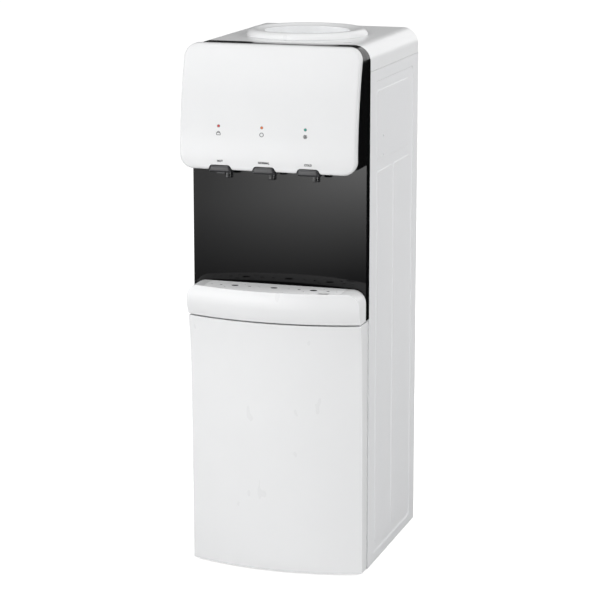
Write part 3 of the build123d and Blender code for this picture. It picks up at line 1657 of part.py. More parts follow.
with BuildPart() as switch_box:
    half_box = switch_box_width / 2
    half_flange = half_box + switch_flange_margin
    box_z = (switch_z - switch_box_height / 2, switch_z + switch_box_height / 2)
    flange_z = (box_z[0] - switch_flange_margin, box_z[1] + switch_flange_margin)
    block((switch_x - half_box, switch_x + half_box), (panel_rear - switch_depth, panel_rear), box_z)
    block(
        (switch_x - half_flange, switch_x + half_flange), (panel_rear, panel_rear + switch_flange), flange_z
    )
    pocket_half_x = rocker_width / 2 + rocker_gap
    pocket_half_z = rocker_height / 2 + 2 * rocker_gap
    for rocker_x in rocker_places:
        block(
            (rocker_x - pocket_half_x, rocker_x + pocket_half_x),
            (panel_rear - switch_depth + plastic_wall, panel_rear + switch_flange + overrun),
            (switch_z - pocket_half_z, switch_z + pocket_half_z),
            mode=Mode.SUBTRACT,
        )
        reach_x = rocker_width / 2 + trunnion_length + rocker_gap
        trunnion_start = (rocker_x - reach_x, pivot_y, switch_z)
        cross_rod(trunnion_start, trunnion_radius + pin_gap, 2 * reach_x, mode=Mode.SUBTRACT)
switch_box.part.label = "switch_box"
export_step(switch_box.part, "parts/switch_box.step")


def build_rocker(rocker_x):
    """One rocker with its trunnions, tipped about its pivot."""
    tilt = radians(-rocker_tilt)
    plane = Plane(
        origin=(rocker_x - rocker_width / 2, pivot_y, switch_z),
        x_dir=(0, cos(tilt), sin(tilt)),
        z_dir=(1, 0, 0),
    )
    with BuildPart() as rocker:
        with BuildSketch(plane):
            with BuildLine():
                Polyline(
                    (-rocker_thickness, -rocker_height / 2),
                    (rocker_crown, -rocker_height / 2),
                    (rocker_crown - rocker_pivot_depth / 2, 0),
                    (rocker_crown, rocker_height / 2),
                    (-rocker_thickness, rocker_height / 2),
                    close=True,
                )
            make_face()
        extrude(amount=rocker_width)
        cross_rod(
            (rocker_x - rocker_width / 2 - trunnion_length, pivot_y, switch_z),
            trunnion_radius,
            rocker_width + 2 * trunnion_length,
        )
    return rocker


for switch_name, rocker_x in zip(("heating", "cooling"), rocker_places):
    switch_rocker = build_rocker(rocker_x)
    switch_rocker.part.label = switch_name + "_switch"
    export_step(switch_rocker.part, "parts/" + switch_name + "_switch.step")
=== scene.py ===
# %% [markdown]
# # A free-standing water dispenser
# A tall white cabinet with an arched white head, a black alcove with three push
# levers, a shelf with a drip tray, and a bowed door below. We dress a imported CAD
# frame: the big outer mouldings are modelled again with soft edges and clean
# surfaces, and every other solid keeps its shape and gets a finish of its own.

import json
from math import asin, cos, pi, radians, sin, sqrt

import bmesh
import bpy
from mathutils import Matrix, Vector


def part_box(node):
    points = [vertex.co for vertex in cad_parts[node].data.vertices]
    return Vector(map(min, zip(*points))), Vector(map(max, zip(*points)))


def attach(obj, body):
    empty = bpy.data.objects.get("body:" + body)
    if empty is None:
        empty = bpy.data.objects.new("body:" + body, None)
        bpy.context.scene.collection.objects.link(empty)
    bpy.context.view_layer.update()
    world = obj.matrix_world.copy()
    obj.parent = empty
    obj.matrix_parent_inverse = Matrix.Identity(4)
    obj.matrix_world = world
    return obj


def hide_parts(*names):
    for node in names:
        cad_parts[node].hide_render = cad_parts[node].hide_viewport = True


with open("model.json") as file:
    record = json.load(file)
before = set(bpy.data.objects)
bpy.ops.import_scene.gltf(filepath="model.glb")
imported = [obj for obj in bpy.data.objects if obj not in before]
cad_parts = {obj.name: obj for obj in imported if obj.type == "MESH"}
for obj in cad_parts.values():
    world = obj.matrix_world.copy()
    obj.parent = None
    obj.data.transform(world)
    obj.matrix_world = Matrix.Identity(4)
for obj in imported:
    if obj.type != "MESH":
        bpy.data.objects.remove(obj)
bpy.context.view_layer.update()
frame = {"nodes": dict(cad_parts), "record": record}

# %% [markdown]
# Places come from the frame. The side panel's box gives the cabinet's width and
# its front, and each tap's box gives the tap's place along the width. Three small
# lengths are shared as well: the gap between fitted pieces, how far a cut runs
# past what it cuts, and how near two places are when they count as one.

# %% Places and small lengths that many pieces share
panel_low, panel_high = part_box("side_panel_right")
half_width = panel_high[0]
face_y = panel_low[1]
frame_front_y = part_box("front_frame")[0][1]
tap_x = {}
for name in ("hot", "normal", "cold"):
    tap_low, tap_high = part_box(name + "_tap_body")
    tap_x[name] = (tap_low[0] + tap_high[0]) / 2
gap = 0.0003
overrun = 0.01
near = 1e-6
print("half width", round(half_width, 4), "face", round(face_y, 4))
print("taps", {name: round(x, 4) for name, x in tap_x.items()})

# %% [markdown]
# ## Small helpers
# Node trees get long when each node takes four lines. The first helper makes a
# node, sets its properties and fills its sockets, and links an output that is
# given as a value. Every finish below is written with it.

# %% Helpers for shader nodes
def add_node(tree, kind, inputs=None, **properties):
    """Add one node, set its properties, and fill or link its inputs."""
    made = tree.nodes.new(kind)
    for key, value in properties.items():
        setattr(made, key, value)
    for socket, value in (inputs or {}).items():
        if isinstance(value, bpy.types.NodeSocket):
            tree.links.new(value, made.inputs[socket])
        else:
            made.inputs[socket].default_value = value
    return made


def noise(tree, place, scale, detail=3.0, stretch=(1, 1, 1)):
    """The value of a noise on the object's own coordinates, stretched along an axis if asked."""
    spread = add_node(tree, "ShaderNodeMapping", {"Vector": place, "Scale": stretch})
    inputs = {"Vector": spread.outputs[0], "Scale": scale, "Detail": detail}
    return add_node(tree, "ShaderNodeTexNoise", inputs).outputs["Fac"]


def spread_value(tree, value, low, high, from_low=0.3, from_high=0.7):
    """Stretch a texture's value onto the span from low to high."""
    made = add_node(
        tree,
        "ShaderNodeMapRange",
        {"Value": value, "From Min": from_low, "From Max": from_high, "To Min": low, "To Max": high},
    )
    return made.outputs["Result"]


def blend_colors(tree, share, first, second):
    """A colour between two colours, by a share from 0 to 1."""
    inputs = {0: share, 6: first, 7: second}
    return add_node(tree, "ShaderNodeMix", inputs, data_type="RGBA").outputs[2]


def shade(color, factor):
    """A darker or lighter version of a colour, with full alpha."""
    return (*[min(1.0, channel * factor) for channel in color[:3]], 1.0)


def set_color(tree, shader, share, first, second):
    """Colour the shader between two colours, by a share from 0 to 1."""
    tree.links.new(blend_colors(tree, share, first, second), shader.inputs["Base Color"])


def calculate(tree, operation, first, second):
    """The result of one operation on two values or outputs."""
    return add_node(tree, "ShaderNodeMath", {0: first, 1: second}, operation=operation).outputs[0]


def facing_up(tree):
    """How far the surface faces up, from -1 to 1."""
    normal = tree.nodes.new("ShaderNodeNewGeometry").outputs["Normal"]
    return add_node(tree, "ShaderNodeSeparateXYZ", {0: normal}).outputs[2]


print("helpers ready")

# %% [markdown]
# ## Finishes
# Moulded plastic is never perfectly even. Under a lamp it shows a faint orange
# peel from the mould, slow changes of tone, fine darker specks, and spots that
# hands and cloths have polished or dulled. Each comes from a noise of its own
# size. Metres are the unit, so a noise scale of 1000 makes grain about 1 mm across.
# The flat top of the black housing is matt, so its sheen fades where it faces up.

# %% Moulded plastic
def new_finish(name, roughness, metallic=0.0):
    """A material with one Principled shader. Returns it with its tree, shader and place output."""
    made = bpy.data.materials.new(name)
    made.use_nodes = True
    tree = made.node_tree
    shader = tree.nodes["Principled BSDF"]
    shader.inputs["Roughness"].default_value = roughness
    shader.inputs["Metallic"].default_value = metallic
    place = tree.nodes.new("ShaderNodeTexCoord").outputs["Object"]
    return made, tree, shader, place


def set_bump(tree, shader, height, distance):
    """Bump the shader's normal by a height texture, in metres."""
    bump = add_node(tree, "ShaderNodeBump", {"Height": height, "Distance": distance, "Strength": 1.0})
    tree.links.new(bump.outputs["Normal"], shader.inputs["Normal"])


def moulded_plastic(name, color, roughness, grain, depth, coat=0.0, specular=0.5):
    """Moulded plastic. grain is the noise scale of its orange peel, and depth its height."""
    made, tree, shader, place = new_finish(name, roughness)
    clouds = spread_value(tree, noise(tree, place, 14.0), 0.0, 1.0, 0.1, 0.9)
    smears = noise(tree, place, 30.0, 2.0, (1, 1, 0.5))
    speckle = spread_value(tree, noise(tree, place, 2400.0, 2.0), 0.0, 0.06, 0.5, 0.85)
    tone = blend_colors(tree, clouds, shade(color, 0.99), shade(color, 1.01))
    set_color(tree, shader, speckle, tone, shade(color, 0.9))
    gloss = spread_value(tree, smears, roughness * 0.97, roughness * 1.03, 0.2, 0.8)
    tree.links.new(gloss, shader.inputs["Roughness"])
    shader.inputs["Coat Weight"].default_value = coat
    shader.inputs["Coat Roughness"].default_value = 0.06
    shader.inputs["Specular IOR Level"].default_value = specular
    set_bump(tree, shader, noise(tree, place, grain, 2.0), depth)
    return made


white_plastic = moulded_plastic("white_moulding", (0.83, 0.835, 0.84), 0.28, 700.0, 0.000015, coat=0.15)
fascia_plastic = moulded_plastic("fascia_moulding", (0.755, 0.76, 0.765), 0.26, 700.0, 0.000012, coat=0.15)
panel_plastic = moulded_plastic("pale_panel", (0.76, 0.765, 0.775), 0.36, 800.0, 0.00003)
gloss_black = moulded_plastic("gloss_black", (0.004, 0.004, 0.0043), 0.07, 500.0, 0.000003, specular=0.4)
housing_black = moulded_plastic("housing_black", (0.004, 0.004, 0.0043), 0.22, 500.0, 0.000005, specular=0.4)
lever_plastic = moulded_plastic("lever_plastic", (0.040, 0.040, 0.043), 0.30, 1500.0, 0.00001, 0.3, 0.6)
# The drip basin is coloured near black as painted shade, so that the grille's holes read dark.
dark_shade_basin = moulded_plastic("basin_painted_shade", (0.06, 0.06, 0.063), 0.42, 900.0, 0.00001)
tray_plastic = moulded_plastic("tray_moulding", (0.94, 0.945, 0.95), 0.42, 900.0, 0.00001, specular=0.15)
seat_plastic = moulded_plastic("seat_moulding", (0.80, 0.82, 0.835), 0.24, 900.0, 0.00002, coat=0.3)
liner_plastic = moulded_plastic("liner_moulding", (0.74, 0.75, 0.75), 0.48, 1400.0, 0.00005)
fitting_black = moulded_plastic("black_fitting", (0.020, 0.020, 0.022), 0.24, 1300.0, 0.00001, 0.3, 0.6)
housing_tree = housing_black.node_tree
housing_sheen = spread_value(housing_tree, facing_up(housing_tree), 0.4, 0.02, 0.75, 0.97)
housing_tree.links.new(housing_sheen, housing_tree.nodes["Principled BSDF"].inputs["Specular IOR Level"])
print("plastics", len(bpy.data.materials))

# %% [markdown]
# Galvanised sheet is covered in zinc crystals. A Voronoi texture is made of just
# such patches, so each cell gets its own grey and its own dullness, and stretched
# noise lays the rolling marks of the sheet over them.

# %% Galvanised sheet
def galvanised_sheet(name):
    """Zinc-coated steel with crystal patches about 14 mm across."""
    made, tree, shader, place = new_finish(name, 0.4, 1.0)
    warp = add_node(tree, "ShaderNodeTexNoise", {"Vector": place, "Scale": 45.0, "Detail": 2.0})
    bent = add_node(tree, "ShaderNodeMix", {0: 0.02, 4: place, 5: warp.outputs["Color"]}, data_type="VECTOR")
    crystals = add_node(tree, "ShaderNodeTexVoronoi", {"Vector": bent.outputs[1], "Scale": 75.0})
    split = add_node(tree, "ShaderNodeSeparateColor", {"Color": crystals.outputs["Color"]})
    rolled = noise(tree, place, 260.0, 3.0, (1, 1, 0.02))
    color = blend_colors(tree, split.outputs[0], (0.50, 0.515, 0.53, 1), (0.68, 0.69, 0.70, 1))
    set_color(tree, shader, spread_value(tree, rolled, 0.0, 0.25), color, (0.42, 0.43, 0.44, 1))
    tree.links.new(spread_value(tree, split.outputs[1], 0.28, 0.5, 0.0, 1.0), shader.inputs["Roughness"])
    set_bump(tree, shader, rolled, 0.00002)
    return made


galvanised = galvanised_sheet("galvanised_sheet")
print("made", galvanised.name)

# %% [markdown]
# Stainless steel is brushed in one direction, enamel on the pot and the condenser
# runs in fat drops, and copper tube is drawn bright and then dulls in clouds. All
# three are metals whose look lives in the roughness more than in the colour.

# %% Stainless steel, black enamel and copper
def brushed_metal(name, color, roughness, lay=(1, 1, 0.03), grain=1400.0):
    """Bare metal with fine brush lines along one axis."""
    made, tree, shader, place = new_finish(name, roughness, 1.0)
    lines = noise(tree, place, grain, 2.0, lay)
    clouds = noise(tree, place, 18.0)
    set_color(tree, shader, spread_value(tree, lines, 0.0, 1.0), shade(color, 0.88), shade(color, 1.06))
    tree.links.new(spread_value(tree, clouds, roughness * 0.8, roughness * 1.35), shader.inputs["Roughness"])
    set_bump(tree, shader, lines, 0.00001)
    return made


def enamelled_steel(name, color, roughness):
    """Thick black enamel with a soft ripple and a little dust on what faces up."""
    made, tree, shader, place = new_finish(name, roughness)
    ripple = noise(tree, place, 160.0, 2.0)
    dust = noise(tree, place, 420.0, 5.0)
    upward = spread_value(tree, facing_up(tree), 0.0, 0.35, 0.3, 1.0)
    share = calculate(tree, "MULTIPLY", upward, spread_value(tree, dust, 0.2, 1.0))
    set_color(tree, shader, share, shade(color, 1.0), (0.20, 0.19, 0.17, 1))
    tree.links.new(spread_value(tree, dust, roughness * 0.8, roughness * 1.5), shader.inputs["Roughness"])
    set_bump(tree, shader, ripple, 0.00008)
    return made


stainless = brushed_metal("stainless_steel", (0.66, 0.67, 0.68), 0.28)
bright_wire = brushed_metal("spring_wire", (0.62, 0.62, 0.63), 0.22, (1, 1, 1), 2600.0)
copper = brushed_metal("copper_tube", (0.80, 0.43, 0.27), 0.26, (1, 1, 1), 700.0)
black_enamel = enamelled_steel("black_enamel", (0.022, 0.022, 0.024), 0.30)
print("metals", stainless.name, bright_wire.name, copper.name, black_enamel.name)

# %% [markdown]
# Rubber is dull and holds dust, silicone tube is milky because light enters it,
# foam shows its cells, and felt shows its fibres. Each of the four is one texture
# at the right size, fed to both the colour and the bump.

# %% Rubber, silicone, foam and felt
def soft_rubber(name, color):
    """Dull rubber with fine grain and a bloom of dust."""
    made, tree, shader, place = new_finish(name, 0.7)
    bloom = noise(tree, place, 120.0, 5.0)
    set_color(tree, shader, spread_value(tree, bloom, 0.0, 0.5), shade(color, 1.0), (0.13, 0.13, 0.125, 1))
    tree.links.new(spread_value(tree, bloom, 0.6, 0.85), shader.inputs["Roughness"])
    set_bump(tree, shader, noise(tree, place, 3000.0, 2.0), 0.00003)
    return made


def milky_silicone(name):
    """Milky tube that scatters light under its skin."""
    made, tree, shader, place = new_finish(name, 0.32)
    clouds = spread_value(tree, noise(tree, place, 60.0), 0.0, 1.0)
    set_color(tree, shader, clouds, (0.70, 0.69, 0.65, 1), (0.84, 0.83, 0.80, 1))
    shader.inputs["Subsurface Weight"].default_value = 0.25
    shader.inputs["Subsurface Scale"].default_value = 0.004
    set_bump(tree, shader, noise(tree, place, 500.0, 2.0, (1, 1, 0.2)), 0.00003)
    return made


def cellular_foam(name):
    """Cut white foam whose closed cells show as small pits."""
    made, tree, shader, place = new_finish(name, 0.8)
    cells = add_node(tree, "ShaderNodeTexVoronoi", {"Vector": place, "Scale": 420.0})
    depth = spread_value(tree, cells.outputs["Distance"], 0.0, 1.0, 0.0, 0.6)
    # The cells are coloured darker where they lie lower: painted shade in the pits.
    set_color(tree, shader, depth, (0.86, 0.85, 0.78, 1), (0.70, 0.68, 0.60, 1))
    set_bump(tree, shader, depth, -0.0003)
    return made


def pressed_felt(name):
    """Grey-white felt of tangled fibres."""
    made, tree, shader, place = new_finish(name, 0.95)
    across = noise(tree, place, 900.0, 4.0, (1, 1, 0.12))
    along = noise(tree, place, 900.0, 4.0, (0.12, 0.12, 1))
    fibres = calculate(tree, "MAXIMUM", across, along)
    share = spread_value(tree, fibres, 0.0, 1.0, 0.4, 0.8)
    set_color(tree, shader, share, (0.52, 0.51, 0.48, 1), (0.80, 0.79, 0.75, 1))
    shader.inputs["Sheen Weight"].default_value = 0.4
    set_bump(tree, shader, fibres, 0.0006)
    return made


rubber = soft_rubber("dark_rubber", (0.035, 0.035, 0.035))
silicone = milky_silicone("milky_silicone")
foam = cellular_foam("white_foam")
felt = pressed_felt("grey_felt")
print("soft finishes", rubber.name, silicone.name, foam.name, felt.name)

# %% [markdown]
# The lamp board is green laminate with copper tracks under the lacquer. Bricks
# drawn thin make tidy parallel tracks. The magnet strip on the door frame is
# ground ferrite with fine saw lines across it.

# %% Laminate and magnet strip
def laminate_board(name):
    """Green board with lighter tracks."""
    made, tree, shader, place = new_finish(name, 0.35)
    turned = add_node(tree, "ShaderNodeMapping", {"Vector": place, "Rotation": (radians(90), 0, 0)})
    tracks = add_node(
        tree,
        "ShaderNodeTexBrick",
        {
            "Vector": turned.outputs[0],
            "Color1": (0.02, 0.13, 0.06, 1),
            "Color2": (0.025, 0.16, 0.07, 1),
            "Mortar": (0.10, 0.30, 0.13, 1),
            "Scale": 60.0,
            "Mortar Size": 0.03,
            "Brick Width": 1.2,
            "Row Height": 0.18,
        },
    )
    tree.links.new(tracks.outputs["Color"], shader.inputs["Base Color"])
    set_bump(tree, shader, tracks.outputs["Fac"], 0.00005)
    return made


def ferrite_strip(name):
    """Brown-black ferrite with saw lines."""
    made, tree, shader, place = new_finish(name, 0.6)
    lines = add_node(tree, "ShaderNodeTexWave", {"Vector": place, "Scale": 300.0, "Distortion": 1.5})
    set_color(tree, shader, lines.outputs["Fac"], (0.035, 0.030, 0.027, 1), (0.075, 0.066, 0.060, 1))
    set_bump(tree, shader, lines.outputs["Fac"], 0.00006)
    return made


laminate = laminate_board("green_laminate")
ferrite = ferrite_strip("ferrite_strip")
print("made", laminate.name, ferrite.name)

# %% [markdown]
# ## From a bmesh to a piece
# Each piece ends the same way: it gets a mesh, rides on its body, and hides the
# CAD nodes that it stands for. A moulded edge is never sharp, so a Bevel modifier
# rounds every edge over 35 degrees by the size that is asked for. Very short edges
# would choke the bevel, and are merged away first. Shapes are cut by a Boolean
# modifier that runs on the spot.

# %% Finish a piece
def mesh_from(name, bm):
    """A mesh with a bmesh's content. The bmesh is freed."""
    mesh = bpy.data.meshes.new(name)
    bm.to_mesh(mesh)
    bm.free()
    return mesh


def add_object(name, data):
    """A new object in the scene."""
    made = bpy.data.objects.new(name, data)
    bpy.context.scene.collection.objects.link(made)
    return made


def finish_piece(name, bm, body, slot, material, stands_for=(), edge=0.0, merge=0.0004, sharp=35):
    """Turn a bmesh into a soft-edged object on its body."""
    bmesh.ops.remove_doubles(bm, verts=bm.verts, dist=merge)
    bmesh.ops.recalc_face_normals(bm, faces=bm.faces)
    mesh = mesh_from(name, bm)
    mesh.materials.append(material)
    mesh.shade_smooth()
    mesh.set_sharp_from_angle(angle=radians(sharp))
    piece = add_object(name, mesh)
    if edge > 0:
        rounding = piece.modifiers.new("rounding", "BEVEL")
        rounding.width = edge
        rounding.segments = 3
        rounding.limit_method = "ANGLE"
        rounding.angle_limit = radians(sharp)
        rounding.harden_normals = True
        rounding.miter_outer = "MITER_ARC"
    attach(piece, body)
    if stands_for:
        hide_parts(*stands_for)
    print(name, len(mesh.polygons), "faces on", body)


def bake_modifier(bm, kind, **settings):
    """Run one modifier on a bmesh and return the result as a new bmesh."""
    mesh = mesh_from("work", bm)
    holder = add_object("work", mesh)
    modifier = holder.modifiers.new("work", kind)
    for key, value in settings.items():
        setattr(modifier, key, value)
    result = bmesh.new()
    result.from_object(holder, bpy.context.evaluated_depsgraph_get())
    bpy.data.objects.remove(holder)
    bpy.data.meshes.remove(mesh)
    return result


def combine(bm, tool, operation="DIFFERENCE"):
    """Cut a closed bmesh with another one, or keep only what they share."""
    bmesh.ops.recalc_face_normals(tool, faces=tool.faces)
    mesh = mesh_from("cutter", tool)
    cutter = add_object("cutter", mesh)
    bmesh.ops.recalc_face_normals(bm, faces=bm.faces)
    result = bake_modifier(bm, "BOOLEAN", object=cutter, operation=operation, solver="EXACT")
    bpy.data.objects.remove(cutter)
    bpy.data.meshes.remove(mesh)
    return result


print("piece helpers ready")

# %% [markdown]
# ## Simple closed shapes
# Three shapes come back often: a box between two corners, a round bar, and a
# plate with round corners. Each starts from a bmesh create operator and is put in
# its place by a transform, so the finished object can sit at the origin. Short
# helpers pick vertices and edges, and round off what was picked. Extruding and
# spinning leave the elements in an order that changes from run to run, so they
# are sorted by place, which makes every run give the same mesh.

# %% Box, bar and rounded plate
sort_axis = Vector((1.0, 7.31, 53.7))


def settle(bm):
    """Sort vertices, edges and faces by their place along an axis that is square to nothing."""
    bm.verts.sort(key=lambda vert: vert.co.dot(sort_axis))
    bm.edges.sort(key=lambda edge: (edge.verts[0].co + edge.verts[1].co).dot(sort_axis))
    bm.faces.sort(key=lambda face: face.calc_center_median().dot(sort_axis))
    for items in (bm.verts, bm.edges, bm.faces):
        items.index_update()


def new_verts(made):
    """The vertices among what an extrusion made."""
    return [item for item in made["geom"] if isinstance(item, bmesh.types.BMVert)]


def edges_with(bm, test):
    """The edges whose two ends both pass a test on their place."""
    return [edge for edge in bm.edges if all(test(vert.co) for vert in edge.verts)]


def edge_span(edge, axis):
    """How far an edge runs along one axis."""
    return abs(edge.verts[0].co[axis] - edge.verts[1].co[axis])


def round_off(bm, picked, radius, segments, affect="EDGES"):
    """Round edges, or the corners of a flat sheet, by a radius."""
    bmesh.ops.bevel(
        bm, geom=picked, offset=radius, segments=segments, profile=0.5, affect=affect, material=-1
    )


def box_mesh(low, high):
    """A closed box between two corners."""
    bm = bmesh.new()
    bmesh.ops.create_cube(bm, size=1.0)
    size = [b - a for a, b in zip(low, high)]
    middle = [(a + b) / 2 for a, b in zip(low, high)]
    bmesh.ops.scale(bm, vec=size, verts=bm.verts)
    bmesh.ops.translate(bm, vec=middle, verts=bm.verts)
    return bm


def bar_mesh(start, radius, length, sides):
    """A closed round bar that runs along +Z from a place."""
    bm = bmesh.new()
    bmesh.ops.create_cone(
        bm, cap_ends=True, segments=sides, radius1=radius, radius2=radius, depth=length
    )
    bmesh.ops.translate(bm, vec=(0, 0, length / 2), verts=bm.verts)
    bmesh.ops.translate(bm, vec=start, verts=bm.verts)
    return bm


def rounded_plate(width, height, corner, thickness):
    """A plate in the XY plane about the origin, with round corners, that runs back along -Z."""
    bm = bmesh.new()
    bmesh.ops.create_grid(bm, x_segments=1, y_segments=1, size=0.5)
    bmesh.ops.scale(bm, vec=(width, height, 1), verts=bm.verts)
    round_off(bm, bm.verts[:], corner, 12, "VERTICES")
    walls = bmesh.ops.extrude_face_region(bm, geom=bm.faces[:])
    bmesh.ops.translate(bm, vec=(0, 0, -thickness), verts=new_verts(walls))
    settle(bm)
    bmesh.ops.recalc_face_normals(bm, faces=bm.faces)
    return bm


print("shape helpers ready")

# %% [markdown]
# ## Bowed bodies
# The door and the shelf share one form: a front that bows out in plan and swells
# with height, on straight sides and a flat rear. We start from a flat grid, push
# each of its points out to the swell at its height and the bow at its place along
# the width, and extrude the whole skin back to a flat rear.

# %% A body with a bowed front
bow = 0.028
bow_columns = 36
straight_angle = radians(0.2)
bow_radius = (half_width**2 + bow**2) / (2 * bow)


def bow_at(x):
    """How far the arc of the front stands ahead of the side edges, at a place along the width."""
    return sqrt(bow_radius**2 - x**2) - (bow_radius - bow)


def bowed_body(half, low_z, high_z, reach_at, rear_y, inset=0.0, rows=36):
    """A closed body behind a bowed skin. reach_at gives the skin's reach at a share of the height."""
    bm = bmesh.new()
    bmesh.ops.create_grid(bm, x_segments=bow_columns, y_segments=rows, size=0.5)
    for vert in bm.verts:
        share = vert.co.y + 0.5
        x = vert.co.x * 2 * half
        z = low_z + share * (high_z - low_z)
        vert.co = (x, face_y - reach_at(share) - bow_at(x) + inset, z)
    skin = bm.faces[:]
    walls = bmesh.ops.extrude_face_region(bm, geom=skin)
    for vert in new_verts(walls):
        vert.co.y = rear_y
    settle(bm)
    kept = {edge for face in skin if face.is_valid for edge in face.edges}
    loose = [edge for edge in bm.edges if edge not in kept]
    verts = list(dict.fromkeys(vert for edge in loose for vert in edge.verts))
    bmesh.ops.dissolve_limit(bm, angle_limit=straight_angle, verts=verts, edges=loose)
    bmesh.ops.recalc_face_normals(bm, faces=bm.faces)
    return bm


print("bow radius", round(bow_radius, 4))

# %% [markdown]
# ## Cabinet door
# The real door is a hollow moulding. Its front leans out slightly with height and
# flares quickly in the last few centimetres, so that it meets the shelf above.
# A steep power of the height gives that flare with one number. The edge at the
# hinge is rounded about the hinge pin, so that the door can turn.

# %% The door
door_low, door_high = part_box("cabinet_door")
door_reach_foot = 0.035
door_lean = 0.006
door_flare = 0.0105
flare_power = 9
door_wall = 0.0025
hinge_radius = 0.007
hinge_boss = 0.0066
hinge_slack = 1e-4
door_rear_y = door_high[1]


def door_reach(share):
    """How far the door's side edge stands ahead of the panels, at a share of its height."""
    return door_reach_foot + door_lean * share + door_flare * share**flare_power


door = bowed_body(half_width, door_low[2], door_high[2], door_reach, door_rear_y)
hinge_edge = edges_with(
    door, lambda place: place.x > half_width - hinge_slack and place.y > door_rear_y - hinge_slack
)
round_off(door, hinge_edge, hinge_radius, 8)
hollow_half = half_width - door_wall
hollow_foot, hollow_head = door_low[2] + door_wall, door_high[2] - door_wall
hollow = bowed_body(hollow_half, hollow_foot, hollow_head, door_reach, door_rear_y + door_wall, door_wall)
hinge_wall_x = half_width - hinge_radius - hinge_boss
bmesh.ops.bisect_plane(
    hollow,
    geom=hollow.verts[:] + hollow.edges[:] + hollow.faces[:],
    plane_co=(hinge_wall_x, 0, 0),
    plane_no=(1, 0, 0),
    clear_outer=True,
)
bmesh.ops.holes_fill(hollow, edges=[edge for edge in hollow.edges if edge.is_boundary])
door = combine(door, hollow)
finish_piece("door_shell", door, "door", "white_shell", white_plastic, ["cabinet_door"], edge=0.0016)

# %% [markdown]
# ## Tray shelf
# The shelf swells like a lip: it leans out to its widest line and ends in a small
# rounding at the flat top. Its upper corners are large quarter circles, and a
# bowed pocket that fills its top holds the drip tray. We cut the corners by
# keeping only what lies inside a rounded plate, and cut the pocket with a second
# bowed body.

# %% The shelf
shelf_low, shelf_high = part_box("tray_shelf")
shelf_corner = 0.022
shelf_edge = 0.0016
shelf_front = 0.03
outline_depth = 0.3
pocket_half = 0.1225
pocket_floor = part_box("drip_tray")[0][2]
pocket_reach = 0.0665
pocket_rear = 0.002
# Share of the shelf's height, and how far the side edge stands ahead of the panels there
shelf_profile = (
    (0.0, 0.052), (0.222, 0.0568), (0.444, 0.05975), (0.556, 0.06015),
    (0.667, 0.06), (0.833, 0.0592), (0.944, 0.05885), (1.0, 0.0588),
)


def shelf_reach(share):
    """The shelf's reach at a share of its height, on a smooth curve through its profile."""
    spans = list(zip(shelf_profile, shelf_profile[1:]))
    index = min(range(len(spans)), key=lambda i: 0 if spans[i][0][0] <= share <= spans[i][1][0] else 1)
    (low, low_reach), (high, high_reach) = spans[index]
    slopes = []
    for at in (index, index + 1):
        before, after = shelf_profile[max(at - 1, 0)], shelf_profile[min(at + 1, len(spans))]
        slopes.append((after[1] - before[1]) / (after[0] - before[0]))
    t = (share - low) / (high - low)
    width = high - low
    return (
        (2 * t**3 - 3 * t**2 + 1) * low_reach
        + (t**3 - 2 * t**2 + t) * width * slopes[0]
        + (3 * t**2 - 2 * t**3) * high_reach
        + (t**3 - t**2) * width * slopes[1]
    )


shelf = bowed_body(half_width, shelf_low[2], shelf_high[2], shelf_reach, frame_front_y, rows=20)
top_front_edge = edges_with(
    shelf, lambda place: place.z > shelf_high[2] - near and place.y < face_y - shelf_front
)
round_off(shelf, top_front_edge, shelf_edge, 5)
shelf_height = shelf_high[2] - shelf_low[2]
outline = rounded_plate(2 * half_width, 2 * shelf_height, shelf_corner, outline_depth)
bmesh.ops.rotate(outline, cent=(0, 0, 0), matrix=Matrix.Rotation(radians(90), 3, "X"), verts=outline.verts)
bmesh.ops.translate(outline, vec=(0, frame_front_y - outline_depth / 2, shelf_low[2]), verts=outline.verts)
shelf = combine(shelf, outline, "INTERSECT")
pocket_side_reach = pocket_reach - bow + bow_at(pocket_half)
pocket = bowed_body(
    pocket_half,
    pocket_floor,
    shelf_high[2] + overrun,
    lambda share: pocket_side_reach,
    frame_front_y - pocket_rear,
    rows=2,
)
shelf = combine(shelf, pocket)
print("shelf has", len(shelf.faces), "faces after its cuts")
shelf_names = ("cabinet", "white_shell", white_plastic, ["tray_shelf"])
finish_piece("shelf_shell", shelf, *shelf_names, edge=0.0009, merge=0.0006)

# %% [markdown]
# ## Arched fascia
# The fascia is a dished plate: a rounded rectangle, 12 mm deep, with a soft front
# rim and a hollow back. Seen from the side its front is a long arc that leans back
# towards its head. We model the plate flat, cut it into strips, and then move
# every vertex onto the arc. Three notches in its foot make room for the levers,
# and three small holes let the lamps look through.

# %% The fascia
fascia_foot = 0.711
fascia_head = 0.920
fascia_radius = 0.570
fascia_crest = 0.733
fascia_reach = 0.085
fascia_depth = 0.012
fascia_wall = 0.0025
fascia_corner = 0.023
fascia_rim = 0.004
fascia_strips = 36
notch_foot_width = 0.043
notch_head_width = 0.034
notch_head_z = 0.7195
notch_corner = 0.0035
notch_front = 0.02
notch_rear = 0.04
lens_z = 0.785
lens_hole = 0.00195

fascia_middle_z = (fascia_foot + fascia_head) / 2
arc_middle_y = face_y - fascia_reach + fascia_radius


def on_fascia(place):
    """Where a vertex of the flat plate belongs on the arc: X stays, Y becomes height, and -Z is depth."""
    height = fascia_middle_z + place.y
    y = arc_middle_y - sqrt((fascia_radius + place.z) ** 2 - (height - fascia_crest) ** 2)
    return Vector((place.x, y, height))


lens_tilt = asin((lens_z - fascia_crest) / fascia_radius)
lens_front = on_fascia(Vector((0, lens_z - fascia_middle_z, 0)))
lens_place = Matrix.Translation(lens_front) @ Matrix.Rotation(radians(90) - lens_tilt, 4, "X")
leds_low, leds_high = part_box("indicator_leds")
lens_pitch = 0.0762
lens_middle_x = (leds_low[0] + leds_high[0]) / 2
lens_x = [lens_middle_x + step * lens_pitch for step in (-1, 0, 1)]

